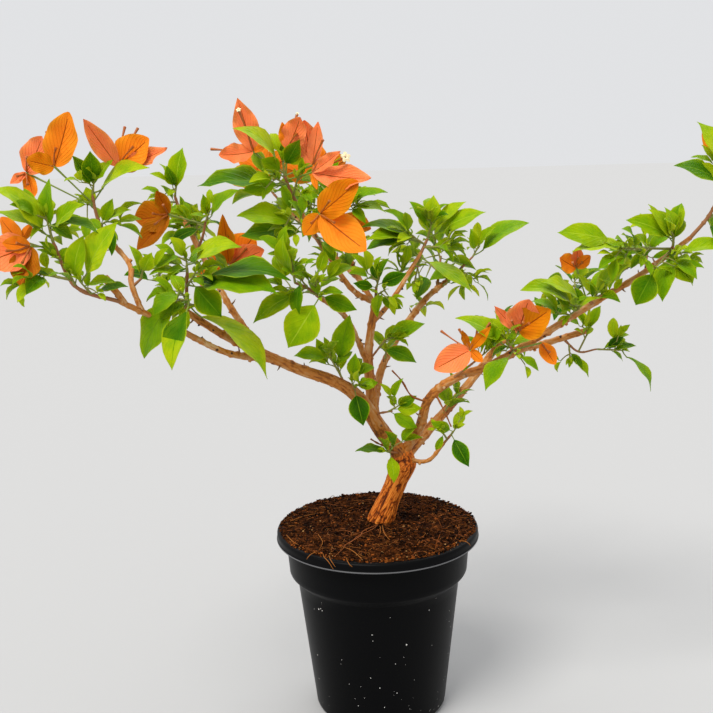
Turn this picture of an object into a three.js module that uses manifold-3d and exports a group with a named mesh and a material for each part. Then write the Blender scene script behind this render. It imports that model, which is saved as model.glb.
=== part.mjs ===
// A young bougainvillea bush with orange bracts in a black nursery pot.
// Millimetres, +Z up. The origin is the centre of the pot's flat underside.
// +X is to the right and +Y is away from someone who stands in front of the plant.
import * as THREE from "three";
import { mergeVertices } from "three/addons/utils/BufferGeometryUtils.js";
import Module from "manifold-3d";

const wasm = await Module();
wasm.setup();

// Driving dimensions
const GAP = 0.3; // clearance between neighbouring pieces
const POT = {
  height: 158,
  rimRadius: 85,
  rimHeight: 8,
  rimRound: 2.4,
  collarTopRadius: 77,
  collarFootRadius: 75,
  collarHeight: 36,
  bodyTopRadius: 68.6,
  stepHeight: 6,
  footRadius: 55.7,
  footRound: 5,
  wall: 2,
  floor: 3,
  segments: 40,
  drainHoles: 8,
  drainHoleRadius: 4.5,
  drainCircleRadius: 38,
};
const SOIL = { edgeHeight: 155.5, crown: 5, lumps: 0.8, levelRadius: 15, rings: 5 };
const GROUND = SOIL.edgeHeight + SOIL.crown; // the soil's height where the trunk is cut flat
const TRUNK_SIDES = 14;
const BOUGH_SIDES = 8;
const SIDE_LIMB_SIDES = 6;
const TWIG_SIDES = 3;
const LEAF = {
  petiole: 0.16, // share of a leaf's whole length that is its stalk
  widthShare: 0.56, // of the blade's length
  widest: 0.38, // share of the blade's length where it is widest
  keel: 0.6, // depth of the midrib below the fold
  rootRadius: 0.6,
  plainUnder: 38, // a blade shorter than this has one station fewer
  fold: 0.18, // radians that each half rises from the midrib
  lean: 0.95, // the most that a filling leaf leans to the front or the back, in radians
};
const BRACT = { widthShare: 0.72, widest: 0.42, stalkRadius: 1.3 };
const CLEARANCE = { wood: 1.5, own: 3.5, other: 4.5, placed: 1.5 }; // for the points that are checked on each blade
const SIDE_TWIG = { every: 4, share: 0.32 }; // which filling leaves have one, and its share of their length
const GOLDEN_ANGLE = 2.399963;

// Colours and roughness
const COLOURS = {
  pot: [0x17181a, 0.42],
  soil: [0x3a2213, 0.95],
  trunk: [0xb4662f, 0.85],
  bough: [0xa87142, 0.8],
  foliage: [0x5c9a24, 0.55],
};

// The trunk leans to the right. It has a small root flare, a knuckle under the fork, and starts below
// the ground so that it can be cut flat there.
const TRUNK = {
  foot: [4, 8],
  points: [[1, 9, 148], [4, 8, 161], [11, 6, 180], [18, 4, 197], [22, 3, 211], [21, 2, 224]],
  radii: [14, 11.3, 9.6, 10, 12, 6],
};

// Each limb leaves its parent at a share of the parent's length and runs through its points to its tip.
const LIMBS = {
  bough_left: {
    from: "trunk", at: 0.9, radii: [7.2, 6.2, 5, 4.2, 3.7],
    points: [[6, -4, 240], [-13, -16, 272], [-32, -24, 288], [-60, -34, 301], [-91, -44, 318]],
  },
  bough_left_upper: {
    from: "bough_left", at: 0.96, radii: [3.3, 2.4], points: [[-113, -50, 331], [-150, -60, 359]],
  },
  bough_left_lower: {
    from: "bough_left", at: 0.9, radii: [2.5, 1.9],
    points: [[-112, -62, 321], [-147, -85, 346], [-179, -100, 366]],
  },
  bough_left_stub: {
    from: "bough_left_lower", at: 0.97, radii: [2.1, 2.4], points: [[-189, -100, 384]],
  },
  bough_left_upright: {
    from: "bough_left_lower", at: 0.86, radii: [1.9, 1.6],
    points: [[-175, -80, 376], [-180, -62, 390], [-199, -56, 411]],
  },
  bough_left_back: {
    from: "bough_left", at: 0.97, radii: [2.6, 1.8],
    points: [[-113, -20, 351], [-139, 12, 392], [-156, 28, 424]],
  },
  bough_centre: {
    from: "bough_left", at: 0.27, radii: [4.8, 2.9],
    points: [[-3, 2, 278], [-4, 9, 305], [3, 22, 346]],
  },
  bough_centre_front: {
    from: "bough_centre", at: 0.55, radii: [2.3, 1.7], points: [[-21, -22, 338], [-40, -46, 358]],
  },
  bough_centre_side: {
    from: "bough_centre", at: 0.86, radii: [2.2, 1.6], points: [[17, 38, 343], [44, 64, 380]],
  },
  bough_centre_right: {
    from: "bough_centre", at: 0.1, radii: [3.4, 2.2],
    points: [[10, 40, 290], [45, 92, 331], [80, 118, 356]],
  },
  bough_top_front: {
    from: "bough_centre", at: 0.98, radii: [2.2, 1.6],
    points: [[-16, 2, 358], [-35, -24, 390], [-52, -34, 420]],
  },
  bough_top_back: {
    from: "bough_centre", at: 0.97, radii: [2.2, 1.6],
    points: [[-10, 42, 362], [-20, 52, 384], [-27, 58, 408]],
  },
  bough_back: {
    from: "bough_top_back", at: 0.3, radii: [1.9, 1.6], points: [[-34, 72, 382], [-70, 100, 416]],
  },
  bough_right: {
    from: "trunk", at: 0.9, radii: [4, 3.4, 2.9],
    points: [[36, -6, 243], [44, -15, 270], [64, -24, 288], [92, -32, 300], [116, -38, 315]],
  },
  bough_right_upper: {
    from: "bough_right", at: 0.98, radii: [2.8, 1.7],
    points: [[160, -36, 341], [206, -41, 370], [240, -44, 396]],
  },
  bough_right_stub: {
    from: "bough_right", at: 0.95, radii: [2.2, 2.4], points: [[136, -22, 314], [175, -8, 322]],
  },
  bough_right_behind: {
    from: "trunk", at: 0.84, radii: [4.6, 3],
    points: [[47, 28, 233], [68, 48, 249], [93, 66, 273], [116, 80, 298]],
  },
  bough_right_back: {
    from: "bough_right_behind", at: 0.97, radii: [2.6, 1.8], points: [[146, 78, 318], [170, 72, 336]],
  },
  twig_fork: {
    from: "trunk", at: 0.86, radii: [1.7, 1.3], points: [[42, -10, 216], [55, -16, 232]],
  },
};

// Each mass has one stem on its limb, at a share of the limb's length. Its sprays leave the stem at a
// share of the stem's length. Clock angles are seen from the front: 0 is right, 90 is up.
// A spray's named leaves are [clock, length] or [clock, length, how broad]; the leaves that fill it point
// into its fan. A flower has its bracts, [clock, length], where its stalk ends, and opens to the front
// or, with back: true, to the back.
const MASSES = {
  foliage_left_end: {
    on: "bough_left_lower", at: 1, seed: 11, radius: 1.5, reach: 84,
    stem: [[-207, -110, 379], [-219, -113, 410]],
    sprays: [
      {
        at: 1, tip: [-222, -115, 428], fill: 3, length: 24, fan: [-30, 210],
        named: [
          [131, 48, 0.6], [152, 38, 0.45], [86, 37, 0.65], [32, 34, 0.6], [18, 23, 0.8], [-10, 38, 0.4],
        ],
      },
      {
        at: 0.3, tip: [-202, -114, 382], fill: 0, length: 30, fan: [0, 90],
        named: [[9, 28, 0.45], [52, 53, 0.85]],
      },
      { at: 0.5, tip: [-208, -117, 388], fill: 1, length: 20, fan: [100, 150], named: [[71, 37]] },
      { at: 0.6, tip: [-236, -118, 391], fill: 1, length: 18, fan: [150, 230], named: [[162, 26, 0.5]] },
      {
        at: 0.82, tip: [-216, -116, 399], fill: 0, length: 18, fan: [20, 160],
        named: [[56, 10, 0.9], [154, 15, 0.6]],
      },
    ],
    flowers: [
      { at: 0.95, end: [-233, -118, 408], bracts: [[-162, 30, 1.15], [169, 17, 0.9], [-103, 26]] },
      { at: 0.9, end: [-243, -106, 411], bracts: [[132, 22, 0.8], [57, 14, 0.7]], back: true },
    ],
  },
  foliage_left_upper: {
    on: "bough_left_upright", at: 1, seed: 23, radius: 1.4, reach: 86,
    stem: [[-203, -56, 427], [-205, -54, 440]],
    sprays: [
      {
        at: 1, tip: [-203, -54, 450], fill: 1, length: 20, fan: [40, 180],
        named: [[20, 50, 0.42], [116, 28, 0.9], [87, 26, 1.2], [45, 24, 0.6]],
      },
      {
        at: 0.6, tip: [-212, -50, 436], fill: 1, length: 18, fan: [150, 250],
        named: [[108, 16, 1.35], [-169, 17, 0.8]],
      },
      {
        at: 0.2, tip: [-197, -52, 420], fill: 1, length: 18, fan: [-80, 60],
        named: [[61, 22], [23, 25, 0.5], [-55, 17, 0.4]],
      },
    ],
    flowers: [
      { at: 0.7, end: [-229, -62, 461], bracts: [[67, 41, 0.85], [163, 17, 1.05]] },
      { at: 0.8, end: [-185, -54, 460], bracts: [[118, 38, 0.5], [37, 32, 1.15], [17, 42, 0.42]] },
      { at: 0.65, end: [-254, -48, 457], bracts: [[56, 31, 0.95], [-75, 20, 0.7], [-144, 13, 0.7]] },
    ],
  },
  foliage_left_mid: {
    on: "bough_left_upright", at: 0.3, seed: 31, radius: 1.2, reach: 50,
    stem: [[-168, -76, 380]],
    sprays: [
      {
        at: 0.9, tip: [-166, -78, 388], fill: 1, length: 20, fan: [-50, 200],
        named: [[105, 25, 0.6], [59, 19, 1.25], [161, 9, 0.7]],
      },
    ],
    flowers: [],
  },
  foliage_left_rosette: {
    on: "bough_left_upper", at: 0.86, seed: 42, radius: 1.6, reach: 100,
    stem: [[-139, -62, 362], [-137, -64, 382]],
    sprays: [
      {
        at: 1, tip: [-137, -65, 392], fill: 3, length: 26, fan: [10, 210],
        named: [[-177, 26, 0.42], [165, 23, 0.5], [155, 21, 0.6], [17, 46, 0.62]],
      },
      {
        at: 0.75, tip: [-130, -72, 382], fill: 1, length: 30, fan: [-30, 40],
        named: [[-5, 70, 0.58], [-50, 35, 1.35], [-3, 73, 0.4]],
      },
      { at: 0.35, tip: [-129, -64, 357], fill: 1, length: 30, fan: [170, 230], named: [[-45, 81, 0.45]] },
      { at: 0.5, tip: [-138, -94, 372], fill: 0, length: 30, fan: [170, 230], named: [[-121, 52, 0.68]] },
      { at: 0.4, tip: [-131, -98, 366], fill: 0, length: 30, fan: [170, 230], named: [[-105, 50, 0.75]] },
    ],
    flowers: [],
  },
  foliage_left_tip: {
    on: "bough_left_upper", at: 1, seed: 57, radius: 1.3, reach: 58,
    stem: [[-160, -48, 370]],
    sprays: [
      { at: 0.9, tip: [-163, -38, 380], fill: 4, length: 24, fan: [20, 200], named: [] },
    ],
    flowers: [],
  },
  foliage_left_back: {
    on: "bough_left_back", at: 1, seed: 61, radius: 1.4, reach: 104,
    stem: [[-160, 32, 436]],
    sprays: [
      {
        at: 0.9, tip: [-158, 32, 444], fill: 2, length: 22, fan: [100, 230],
        named: [[78, 39, 0.85], [118, 26, 0.5]],
      },
      {
        at: 0.5, tip: [-172, 48, 430], fill: 1, length: 26, fan: [120, 250],
        named: [[129, 18, 0.6], [-145, 8, 0.6]],
      },
      { at: 0.2, tip: [-150, 64, 398], fill: 3, length: 30, fan: [-70, 190], named: [] },
    ],
    flowers: [
      {
        at: 0.3, end: [-133, 40, 376], bracts: [[-26, 21, 0.9], [64, 18, 0.9], [-126, 22, 0.9]], back: true,
      },
    ],
  },
  foliage_left_inner: {
    on: "bough_left_back", at: 0.68, seed: 73, radius: 1.3, reach: 74,
    stem: [[-134, 2, 404], [-131, 0, 415]],
    sprays: [
      {
        at: 1, tip: [-128, -2, 421], fill: 1, length: 20, fan: [60, 150],
        named: [[40, 37, 0.55], [93, 20, 0.9], [-44, 24, 0.25]],
      },
      {
        at: 0.8, tip: [-146, 20, 417], fill: 1, length: 18, fan: [150, 230],
        named: [[-153, 30, 0.7], [148, 26, 0.6]],
      },
    ],
    flowers: [
      { at: 0.9, end: [-159, -6, 422], bracts: [[-175, 25, 1.3], [109, 20, 0.8], [-130, 34, 0.55]] },
      { at: 0.4, end: [-114, -2, 381], bracts: [[46, 31, 1.3], [21, 32, 0.9], [90, 41, 0.42]] },
    ],
  },
  foliage_top_left: {
    on: "bough_top_front", at: 1, seed: 83, radius: 1.5, reach: 92,
    stem: [[-60, -38, 438], [-64, -42, 450]],
    sprays: [
      {
        at: 1, tip: [-65, -43, 461], fill: 2, length: 24, fan: [20, 190],
        named: [[138, 51, 0.45], [150, 19, 1.4], [57, 25, 1.1], [41, 20, 1.5]],
      },
      {
        at: 0.7, tip: [-70, -50, 448], fill: 1, length: 28, fan: [150, 240],
        named: [[180, 66, 0.5], [-170, 31], [-71, 22, 0.8]],
      },
      { at: 0.4, tip: [-54, -48, 448], fill: 1, length: 28, fan: [-70, 30], named: [[-49, 13, 0.8]] },
    ],
    flowers: [
      { at: 0.9, end: [-86, -46, 468], bracts: [[104, 40, 0.66], [-176, 25, 0.8], [24, 10, 0.8]] },
      { at: 1, end: [-43, -48, 457], bracts: [[98, 33, 0.75], [80, 32, 0.45]] },
      { at: 0.85, end: [-43, -60, 452], bracts: [[-8, 43, 0.68], [34, 26, 0.5], [-74, 13, 0.5]] },
      { at: 0.9, end: [-61, -48, 469], bracts: [[64, 25], [98, 20, 0.6]] },
    ],
  },
  foliage_top_front: {
    on: "bough_top_front", at: 0.72, seed: 97, radius: 1.3, reach: 84,
    stem: [[-44, -36, 408]],
    sprays: [
      {
        at: 0.9, tip: [-60, -54, 420], fill: 1, length: 26, fan: [130, 260],
        named: [[-177, 55, 0.75], [172, 49, 0.7]],
      },
      { at: 0.6, tip: [-34, -48, 402], fill: 2, length: 24, fan: [-60, 30], named: [[-58, 23, 0.8]] },
    ],
    flowers: [
      { at: 1, end: [-38, -64, 422], bracts: [[39, 37, 0.75], [-38, 42, 0.72], [-129, 19]] },
    ],
  },
  foliage_top_back: {
    on: "bough_top_back", at: 1, seed: 101, radius: 1.4, reach: 84,
    stem: [[-30, 60, 430]],
    sprays: [
      { at: 0.95, tip: [-32, 62, 440], fill: 7, length: 32, fan: [-10, 200], named: [] },
      {
        at: 0.4, tip: [-10, 62, 424], fill: 2, length: 28, fan: [-60, 60],
        named: [[20, 45, 0.4], [-6, 35, 0.45]],
      },
      { at: 0.5, tip: [-52, 78, 424], fill: 4, length: 34, fan: [120, 250], named: [] },
    ],
    flowers: [
      { at: 0.8, end: [-46, 88, 446], bracts: [[30, 32], [90, 34], [160, 32]], back: true },
      { at: 0.3, end: [-26, 90, 410], bracts: [[200, 30], [270, 30], [340, 30]], back: true },
    ],
  },
  foliage_back: {
    on: "bough_back", at: 1, seed: 113, radius: 1.4, reach: 84,
    stem: [[-86, 112, 434]],
    sprays: [
      { at: 1, tip: [-90, 116, 442], fill: 7, length: 34, fan: [-20, 220], named: [] },
      { at: 0.4, tip: [-82, 126, 422], fill: 4, length: 36, fan: [-150, 0], named: [] },
    ],
    flowers: [
      { at: 0.8, end: [-98, 130, 450], bracts: [[30, 34], [110, 36], [190, 32]], back: true },
    ],
  },
  foliage_centre_front: {
    on: "bough_centre_front", at: 1, seed: 127, radius: 1.4, reach: 84,
    stem: [[-48, -54, 366], [-58, -62, 372]],
    sprays: [
      {
        at: 1, tip: [-60, -66, 390], fill: 1, length: 20, fan: [60, 150],
        named: [[99, 36, 0.6], [156, 10, 0.85], [9, 17, 0.55]],
      },
      { at: 0.6, tip: [-60, -66, 366], fill: 1, length: 22, fan: [150, 200], named: [[-148, 46, 0.7]] },
      { at: 0.3, tip: [-40, -62, 361], fill: 0, length: 22, fan: [150, 200], named: [[-124, 44, 1.35]] },
      { at: 0.1, tip: [-43, -58, 371], fill: 2, length: 26, fan: [20, 120], named: [[-23, 32]] },
      { at: 0.55, tip: [-54, -62, 375], fill: 0, length: 24, fan: [40, 120], named: [[-93, 28, 0.8]] },
    ],
    flowers: [],
  },
  foliage_bough_left: {
    on: "bough_left", at: 0.5, seed: 131, radius: 1, reach: 66,
    stem: [[-29, -28, 298]],
    sprays: [
      { at: 0.6, tip: [-29, -32, 302], fill: 0, length: 30, fan: [40, 200], named: [[75, 42, 0.98]] },
      { at: 0.8, tip: [-34, -44, 311], fill: 0, length: 30, fan: [40, 200], named: [[171, 28, 0.8]] },
    ],
    flowers: [],
  },
  foliage_bough_low: {
    on: "bough_left", at: 0.42, seed: 139, radius: 1, reach: 52,
    stem: [[-17, -28, 285]],
    sprays: [
      {
        at: 0.5, tip: [-18, -32, 289], fill: 0, length: 22, fan: [0, 90],
        named: [[283, 28, 1.3], [5, 20], [82, 24]],
      },
    ],
    flowers: [],
  },
  foliage_centre_right: {
    on: "bough_centre", at: 0.58, seed: 149, radius: 1, reach: 64,
    stem: [[10, 2, 316]],
    sprays: [
      {
        at: 0.6, tip: [12, -2, 318], fill: 1, length: 18, fan: [-60, 60],
        named: [[-22, 32, 0.85], [23, 37, 0.85]],
      },
    ],
    flowers: [],
  },
  foliage_centre_top: {
    on: "bough_centre", at: 1, seed: 151, radius: 1.3, reach: 58,
    stem: [[4, 18, 358]],
    sprays: [
      { at: 0.8, tip: [6, 12, 366], fill: 3, length: 24, fan: [60, 200], named: [[165, 20], [22, 26]] },
      { at: 0.3, tip: [10, 6, 356], fill: 2, length: 24, fan: [-110, 0], named: [[-30, 24]] },
    ],
    flowers: [],
  },
  foliage_right_crown: {
    on: "bough_centre_side", at: 1, seed: 163, radius: 1.5, reach: 82,
    stem: [[50, 66, 392]],
    sprays: [
      {
        at: 1, tip: [54, 64, 407], fill: 2, length: 30, fan: [40, 150],
        named: [[24, 52, 0.6], [40, 42, 0.6], [124, 31, 0.8], [84, 28, 1.2]],
      },
      {
        at: 0.6, tip: [36, 58, 396], fill: 1, length: 34, fan: [150, 230],
        named: [
          [157, 50, 0.5], [165, 54, 0.4], [170, 42, 0.6], [178, 45, 0.5], [-169, 44, 0.5], [138, 35, 0.5],
        ],
      },
      {
        at: 0.4, tip: [64, 56, 386], fill: 1, length: 28, fan: [-60, 30],
        named: [[-5, 35, 0.7], [-48, 8, 0.9]],
      },
      { at: 0.05, tip: [38, 66, 354], fill: 1, length: 22, fan: [180, 260], named: [[-36, 54, 0.5]] },
    ],
    flowers: [],
  },
  foliage_right_crown_end: {
    on: "bough_centre_right", at: 1, seed: 181, radius: 1.3, reach: 78,
    stem: [[96, 124, 370]],
    sprays: [
      {
        at: 1, tip: [102, 126, 380], fill: 2, length: 24, fan: [30, 150],
        named: [[30, 58, 0.58], [103, 24, 0.9], [53, 28, 0.5]],
      },
      { at: 0.3, tip: [84, 96, 358], fill: 1, length: 26, fan: [-90, -30], named: [[-163, 32, 0.8]] },
    ],
    flowers: [],
  },
  foliage_right_crown_back: {
    on: "bough_centre_right", at: 0.82, seed: 173, radius: 1.4, reach: 78,
    stem: [[66, 118, 372]],
    sprays: [
      { at: 0.9, tip: [62, 122, 384], fill: 7, length: 34, fan: [-10, 200], named: [] },
      { at: 0.5, tip: [48, 132, 372], fill: 4, length: 34, fan: [120, 250], named: [] },
    ],
    flowers: [],
  },
  foliage_trunk: {
    on: "trunk", at: 0.93, seed: 191, radius: 1, reach: 44,
    stem: [[12, -16, 226]],
    sprays: [
      {
        at: 0.7, tip: [9, -19, 228], fill: 1, length: 16, fan: [60, 120],
        named: [[176, 28], [275, 24, 1.2]],
      },
    ],
    flowers: [],
  },
  foliage_fork: {
    on: "bough_left", at: 0.3, seed: 193, radius: 1, reach: 44,
    stem: [[14, -14, 260]],
    sprays: [
      {
        at: 0.8, tip: [19, -17, 265], fill: 1, length: 16, fan: [90, 180],
        named: [[-32, 26], [4, 24], [30, 20]],
      },
    ],
    flowers: [],
  },
  foliage_fork_right: {
    on: "twig_fork", at: 1, seed: 197, radius: 1.1, reach: 50,
    stem: [[62, -20, 242]],
    sprays: [
      { at: 0.8, tip: [64, -23, 246], fill: 1, length: 14, fan: [0, 80], named: [[-62, 28], [150, 22]] },
      { at: 0.4, tip: [54, -26, 244], fill: 2, length: 18, fan: [110, 240], named: [] },
    ],
    flowers: [],
  },
  foliage_right_low: {
    on: "bough_right", at: 0.55, seed: 199, radius: 1.1, reach: 62,
    stem: [[80, -40, 306]],
    sprays: [
      { at: 0.7, tip: [88, -44, 314], fill: 1, length: 16, fan: [60, 120], named: [[-137, 8, 0.6]] },
    ],
    flowers: [
      {
        at: 1, end: [73, -48, 315],
        bracts: [[-154, 31, 1.05], [111, 17, 0.5], [52, 25, 0.45], [-43, 13, 0.9]],
      },
    ],
  },
  foliage_right_mid: {
    on: "bough_right", at: 0.93, seed: 211, radius: 1.2, reach: 70,
    stem: [[104, -50, 318]],
    sprays: [
      {
        at: 0.5, tip: [100, -50, 324], fill: 2, length: 20, fan: [60, 200],
        named: [[151, 49, 0.6], [12, 21, 0.7]],
      },
      {
        at: 0.3, tip: [108, -54, 312], fill: 0, length: 16, fan: [-80, -30],
        named: [[-130, 36, 0.8], [-39, 21, 0.7]],
      },
    ],
    flowers: [
      { at: 1, end: [109, -56, 330], bracts: [[80, 27, 1.15], [43, 28, 1.1], [133, 29, 0.4]] },
      { at: 0.4, end: [127, -52, 320], bracts: [[-59, 18, 0.85]] },
    ],
  },
  foliage_right_under: {
    on: "bough_right_stub", at: 0.7, seed: 223, radius: 1, reach: 92,
    stem: [[164, -14, 305], [178, -16, 307]],
    sprays: [
      {
        at: 1, tip: [198, -18, 306], fill: 0, length: 18, fan: [-20, 60],
        named: [[10, 24, 0.6], [11, 19, 0.6], [-57, 39, 0.3]],
      },
      { at: 0.2, tip: [156, -20, 302], fill: 1, length: 14, fan: [240, 300], named: [] },
      { at: 0.5, tip: [172, -16, 323], fill: 0, length: 16, fan: [60, 120], named: [[64, 21, 0.9]] },
    ],
    flowers: [],
  },
  foliage_right_behind: {
    on: "bough_right_behind", at: 1, seed: 227, radius: 1.3, reach: 66,
    stem: [[117, 82, 306]],
    sprays: [
      { at: 0.9, tip: [114, 76, 312], fill: 4, length: 26, fan: [-10, 190], named: [] },
      { at: 0.4, tip: [120, 94, 302], fill: 4, length: 28, fan: [-150, 30], named: [] },
    ],
    flowers: [
      { at: 0.9, end: [137, 92, 312], bracts: [[45, 19], [80, 20], [135, 18]], back: true },
    ],
  },
  foliage_right_back: {
    on: "bough_right_back", at: 1, seed: 229, radius: 1.3, reach: 80,
    stem: [[180, 72, 344]],
    sprays: [
      { at: 1, tip: [180, 76, 352], fill: 6, length: 30, fan: [-20, 200], named: [] },
      { at: 0.4, tip: [184, 88, 340], fill: 4, length: 30, fan: [-130, 20], named: [] },
    ],
    flowers: [],
  },
  foliage_right_shoot: {
    on: "bough_right_upper", at: 0.4, seed: 233, radius: 1.3, reach: 74,
    stem: [[162, -46, 352]],
    sprays: [
      {
        at: 0.7, tip: [148, -50, 340], fill: 1, length: 22, fan: [90, 200],
        named: [[154, 43, 0.42], [162, 52, 0.5], [27, 23, 0.35]],
      },
      {
        at: 0.6, tip: [172, -52, 356], fill: 2, length: 22, fan: [0, 100],
        named: [[47, 38, 0.6], [126, 24, 0.5]],
      },
    ],
    flowers: [
      { at: 1, end: [154, -46, 376], bracts: [[149, 17, 1.1], [47, 13, 0.9], [88, 16, 0.9]] },
    ],
  },
  foliage_right_cluster: {
    on: "bough_right_upper", at: 0.85, seed: 239, radius: 1.5, reach: 92,
    stem: [[226, -48, 391]],
    sprays: [
      {
        at: 1, tip: [225, -52, 400], fill: 3, length: 28, fan: [60, 170],
        named: [[85, 30, 0.75], [131, 34, 0.6], [113, 28, 0.75], [158, 42, 0.8]],
      },
      {
        at: 0.6, tip: [184, -60, 391], fill: 1, length: 32, fan: [140, 215],
        named: [[170, 85, 0.62], [-180, 61, 0.35], [174, 21, 0.55]],
      },
      { at: 0.4, tip: [209, -62, 376], fill: 0, length: 30, fan: [-60, 10], named: [[-115, 31, 1.5]] },
      {
        at: 0.5, tip: [223, -62, 387], fill: 0, length: 30, fan: [-60, 10],
        named: [[-105, 39, 0.9], [-61, 27, 1.35], [5, 40, 0.6]],
      },
    ],
    flowers: [],
  },
  foliage_right_cluster_back: {
    on: "bough_right_upper", at: 0.7, seed: 241, radius: 1.4, reach: 84,
    stem: [[214, -20, 376], [222, 4, 378]],
    sprays: [
      { at: 1, tip: [224, 12, 384], fill: 7, length: 32, fan: [-30, 200], named: [] },
      { at: 0.6, tip: [208, 10, 370], fill: 3, length: 32, fan: [110, 250], named: [] },
    ],
    flowers: [],
  },
  foliage_right_tip: {
    on: "bough_right_upper", at: 1, seed: 251, radius: 1.5, reach: 92,
    stem: [[252, -47, 412], [262, -50, 434]],
    sprays: [
      {
        at: 1, tip: [266, -50, 448], fill: 3, length: 30, fan: [-20, 120],
        named: [[161, 44, 0.55], [158, 30, 0.85], [122, 48, 0.6]],
      },
      { at: 0.4, tip: [272, -40, 424], fill: 4, length: 34, fan: [-80, 70], named: [] },
    ],
    flowers: [
      { at: 0.9, end: [276, -34, 456], bracts: [[30, 34], [85, 36], [140, 30]], back: true },
    ],
  },
};

// A seeded draw of numbers from 0 to 1
function seeded(seed) {
  let state = Math.imul(seed, 2654435761) >>> 0;
  return () => {
    state = (Math.imul(state, 1664525) + 1013904223) >>> 0;
    return state / 4294967296;
  };
}

const vec = (p) => new THREE.Vector3(...p);
const mix = (a, b, share) => a + (b - a) * share;
const clamp01 = (v) => Math.min(1, Math.max(0, v));

// A unit vector from a clock angle in degrees, seen from the front, and a lean to the back in radians
function clockDirection(clock, lean) {
  const a = (clock * Math.PI) / 180;
  return new THREE.Vector3(Math.cos(a) * Math.cos(lean), Math.sin(lean), Math.sin(a) * Math.cos(lean));
}

const curveThrough = (points) => new THREE.CatmullRomCurve3(points, false, "catmullrom", 0.5);

// A closed geometry's vertices and triangles as a solid
function solidOf(geometry) {
  const bare = geometry.clone();
  bare.deleteAttribute("normal");
  bare.deleteAttribute("uv");
  const merged = mergeVertices(bare, 1e-4);
  return solidFrom(merged.attributes.position.array, merged.index.array);
}

// The same from plain lists, turned the right way out
function solidFrom(positions, triangles) {
  const mesh = { numProp: 3, vertProperties: new Float32Array(positions), triVerts: new Uint32Array(triangles) };
  const solid = new wasm.Manifold(new wasm.Mesh(mesh));
  if (solid.volume() > 0) return solid;
  for (let i = 0; i < mesh.triVerts.length; i += 3) {
    [mesh.triVerts[i + 1], mesh.triVerts[i + 2]] = [mesh.triVerts[i + 2], mesh.triVerts[i + 1]];
  }
  return new wasm.Manifold(new wasm.Mesh(mesh));
}

// The largest closed body of a solid; the loose scraps that a cut leaves are dropped
function largest(solid) {
  return solid.decompose().sort((a, b) => b.volume() - a.volume())[0];
}

// A solid whose surface touches itself, with the corners that share a place drawn in a little
function parted(solid) {
  const { vertProperties, triVerts, numProp, numVert } = solid.getMesh();
  const corners = Array.from({ length: numVert }, (_, i) => vec(vertProperties.slice(i * numProp, i * numProp + 3)));
  const byPlace = new Map();
  corners.forEach((corner, i) => {
    const place = corner.toArray().map((v) => v.toFixed(3)).join();
    byPlace.set(place, [...(byPlace.get(place) ?? []), i]);
  });
  const shared = [...byPlace.values()].filter((list) => list.length > 1).flat();
  if (!shared.length) return solid;
  const outward = new Map(shared.map((i) => [i, new THREE.Vector3()]));
  for (let k = 0; k < triVerts.length; k += 3) {
    const [a, b, c] = triVerts.slice(k, k + 3);
    const sideAB = corners[b].clone().sub(corners[a]);
    const normal = sideAB.cross(corners[c].clone().sub(corners[a]));
    for (const i of [a, b, c]) outward.get(i)?.add(normal);
  }
  for (const [i, normal] of outward) corners[i].addScaledVector(normal.normalize(), -0.03);
  return solidFrom(corners.flatMap((corner) => corner.toArray()), triVerts);
}

function geometryOf(solid) {
  const { vertProperties, triVerts, numProp, numVert } = solid.getMesh();
  const positions = new Float32Array(numVert * 3);
  for (let i = 0; i < numVert; i++) {
    positions.set(vertProperties.subarray(i * numProp, i * numProp + 3), i * 3);
  }
  const geometry = new THREE.BufferGeometry();
  geometry.setAttribute("position", new THREE.BufferAttribute(positions, 3));
  geometry.setIndex(new THREE.BufferAttribute(new Uint32Array(triVerts), 1));
  geometry.computeVertexNormals();
  return geometry;
}

// Side faces and a start cap for rings of `sides` vertices each, listed one ring after another
function ringTriangles(sides, rings) {
  const triangles = [];
  for (let k = 1; k < sides - 1; k++) triangles.push(0, k + 1, k);
  for (let i = 0; i < rings - 1; i++) {
    for (let k = 0; k < sides; k++) {
      const a = i * sides + k;
      const b = i * sides + ((k + 1) % sides);
      triangles.push(a, b, b + sides, a, b + sides, a + sides);
    }
  }
  return triangles;
}

// A closed tube along a curve; radiusAt gives its radius at a share of the curve and a turn round it.
// With extra, the tube is that much fatter and its end that much longer.
function tube(curve, radiusAt, sides, steps, extra = 0) {
  const positions = [];
  let across = new THREE.Vector3(0.31, -0.82, 0.48);
  for (let i = 0; i <= steps; i++) {
    const share = i / steps;
    const centre = curve.getPoint(share);
    const along = curve.getTangent(share);
    if (i === steps) centre.addScaledVector(along, extra);
    across.addScaledVector(along, -across.dot(along)).normalize();
    const other = new THREE.Vector3().crossVectors(along, across);
    for (let k = 0; k < sides; k++) {
      const turn = (2 * Math.PI * k) / sides;
      const radius = radiusAt(share, turn) + extra;
      const point = centre.clone().addScaledVector(across, radius * Math.cos(turn));
      point.addScaledVector(other, radius * Math.sin(turn));
      positions.push(point.x, point.y, point.z);
    }
  }
  const triangles = ringTriangles(sides, steps + 1);
  const last = steps * sides;
  for (let k = 1; k < sides - 1; k++) triangles.push(last, last + k, last + k + 1);
  return solidFrom(positions, triangles);
}

// A radius that runs evenly through a list of radii
function runThrough(radii) {
  return (share) => {
    const place = share * (radii.length - 1);
    const i = Math.min(radii.length - 2, Math.floor(place));
    return mix(radii[i], radii[i + 1], place - i);
  };
}

// The pot and its soil
function lathe(profile, segments) {
  const geometry = new THREE.LatheGeometry(profile.map(([r, z]) => new THREE.Vector2(r, z)), segments);
  return geometry.rotateX(Math.PI / 2);
}

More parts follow.
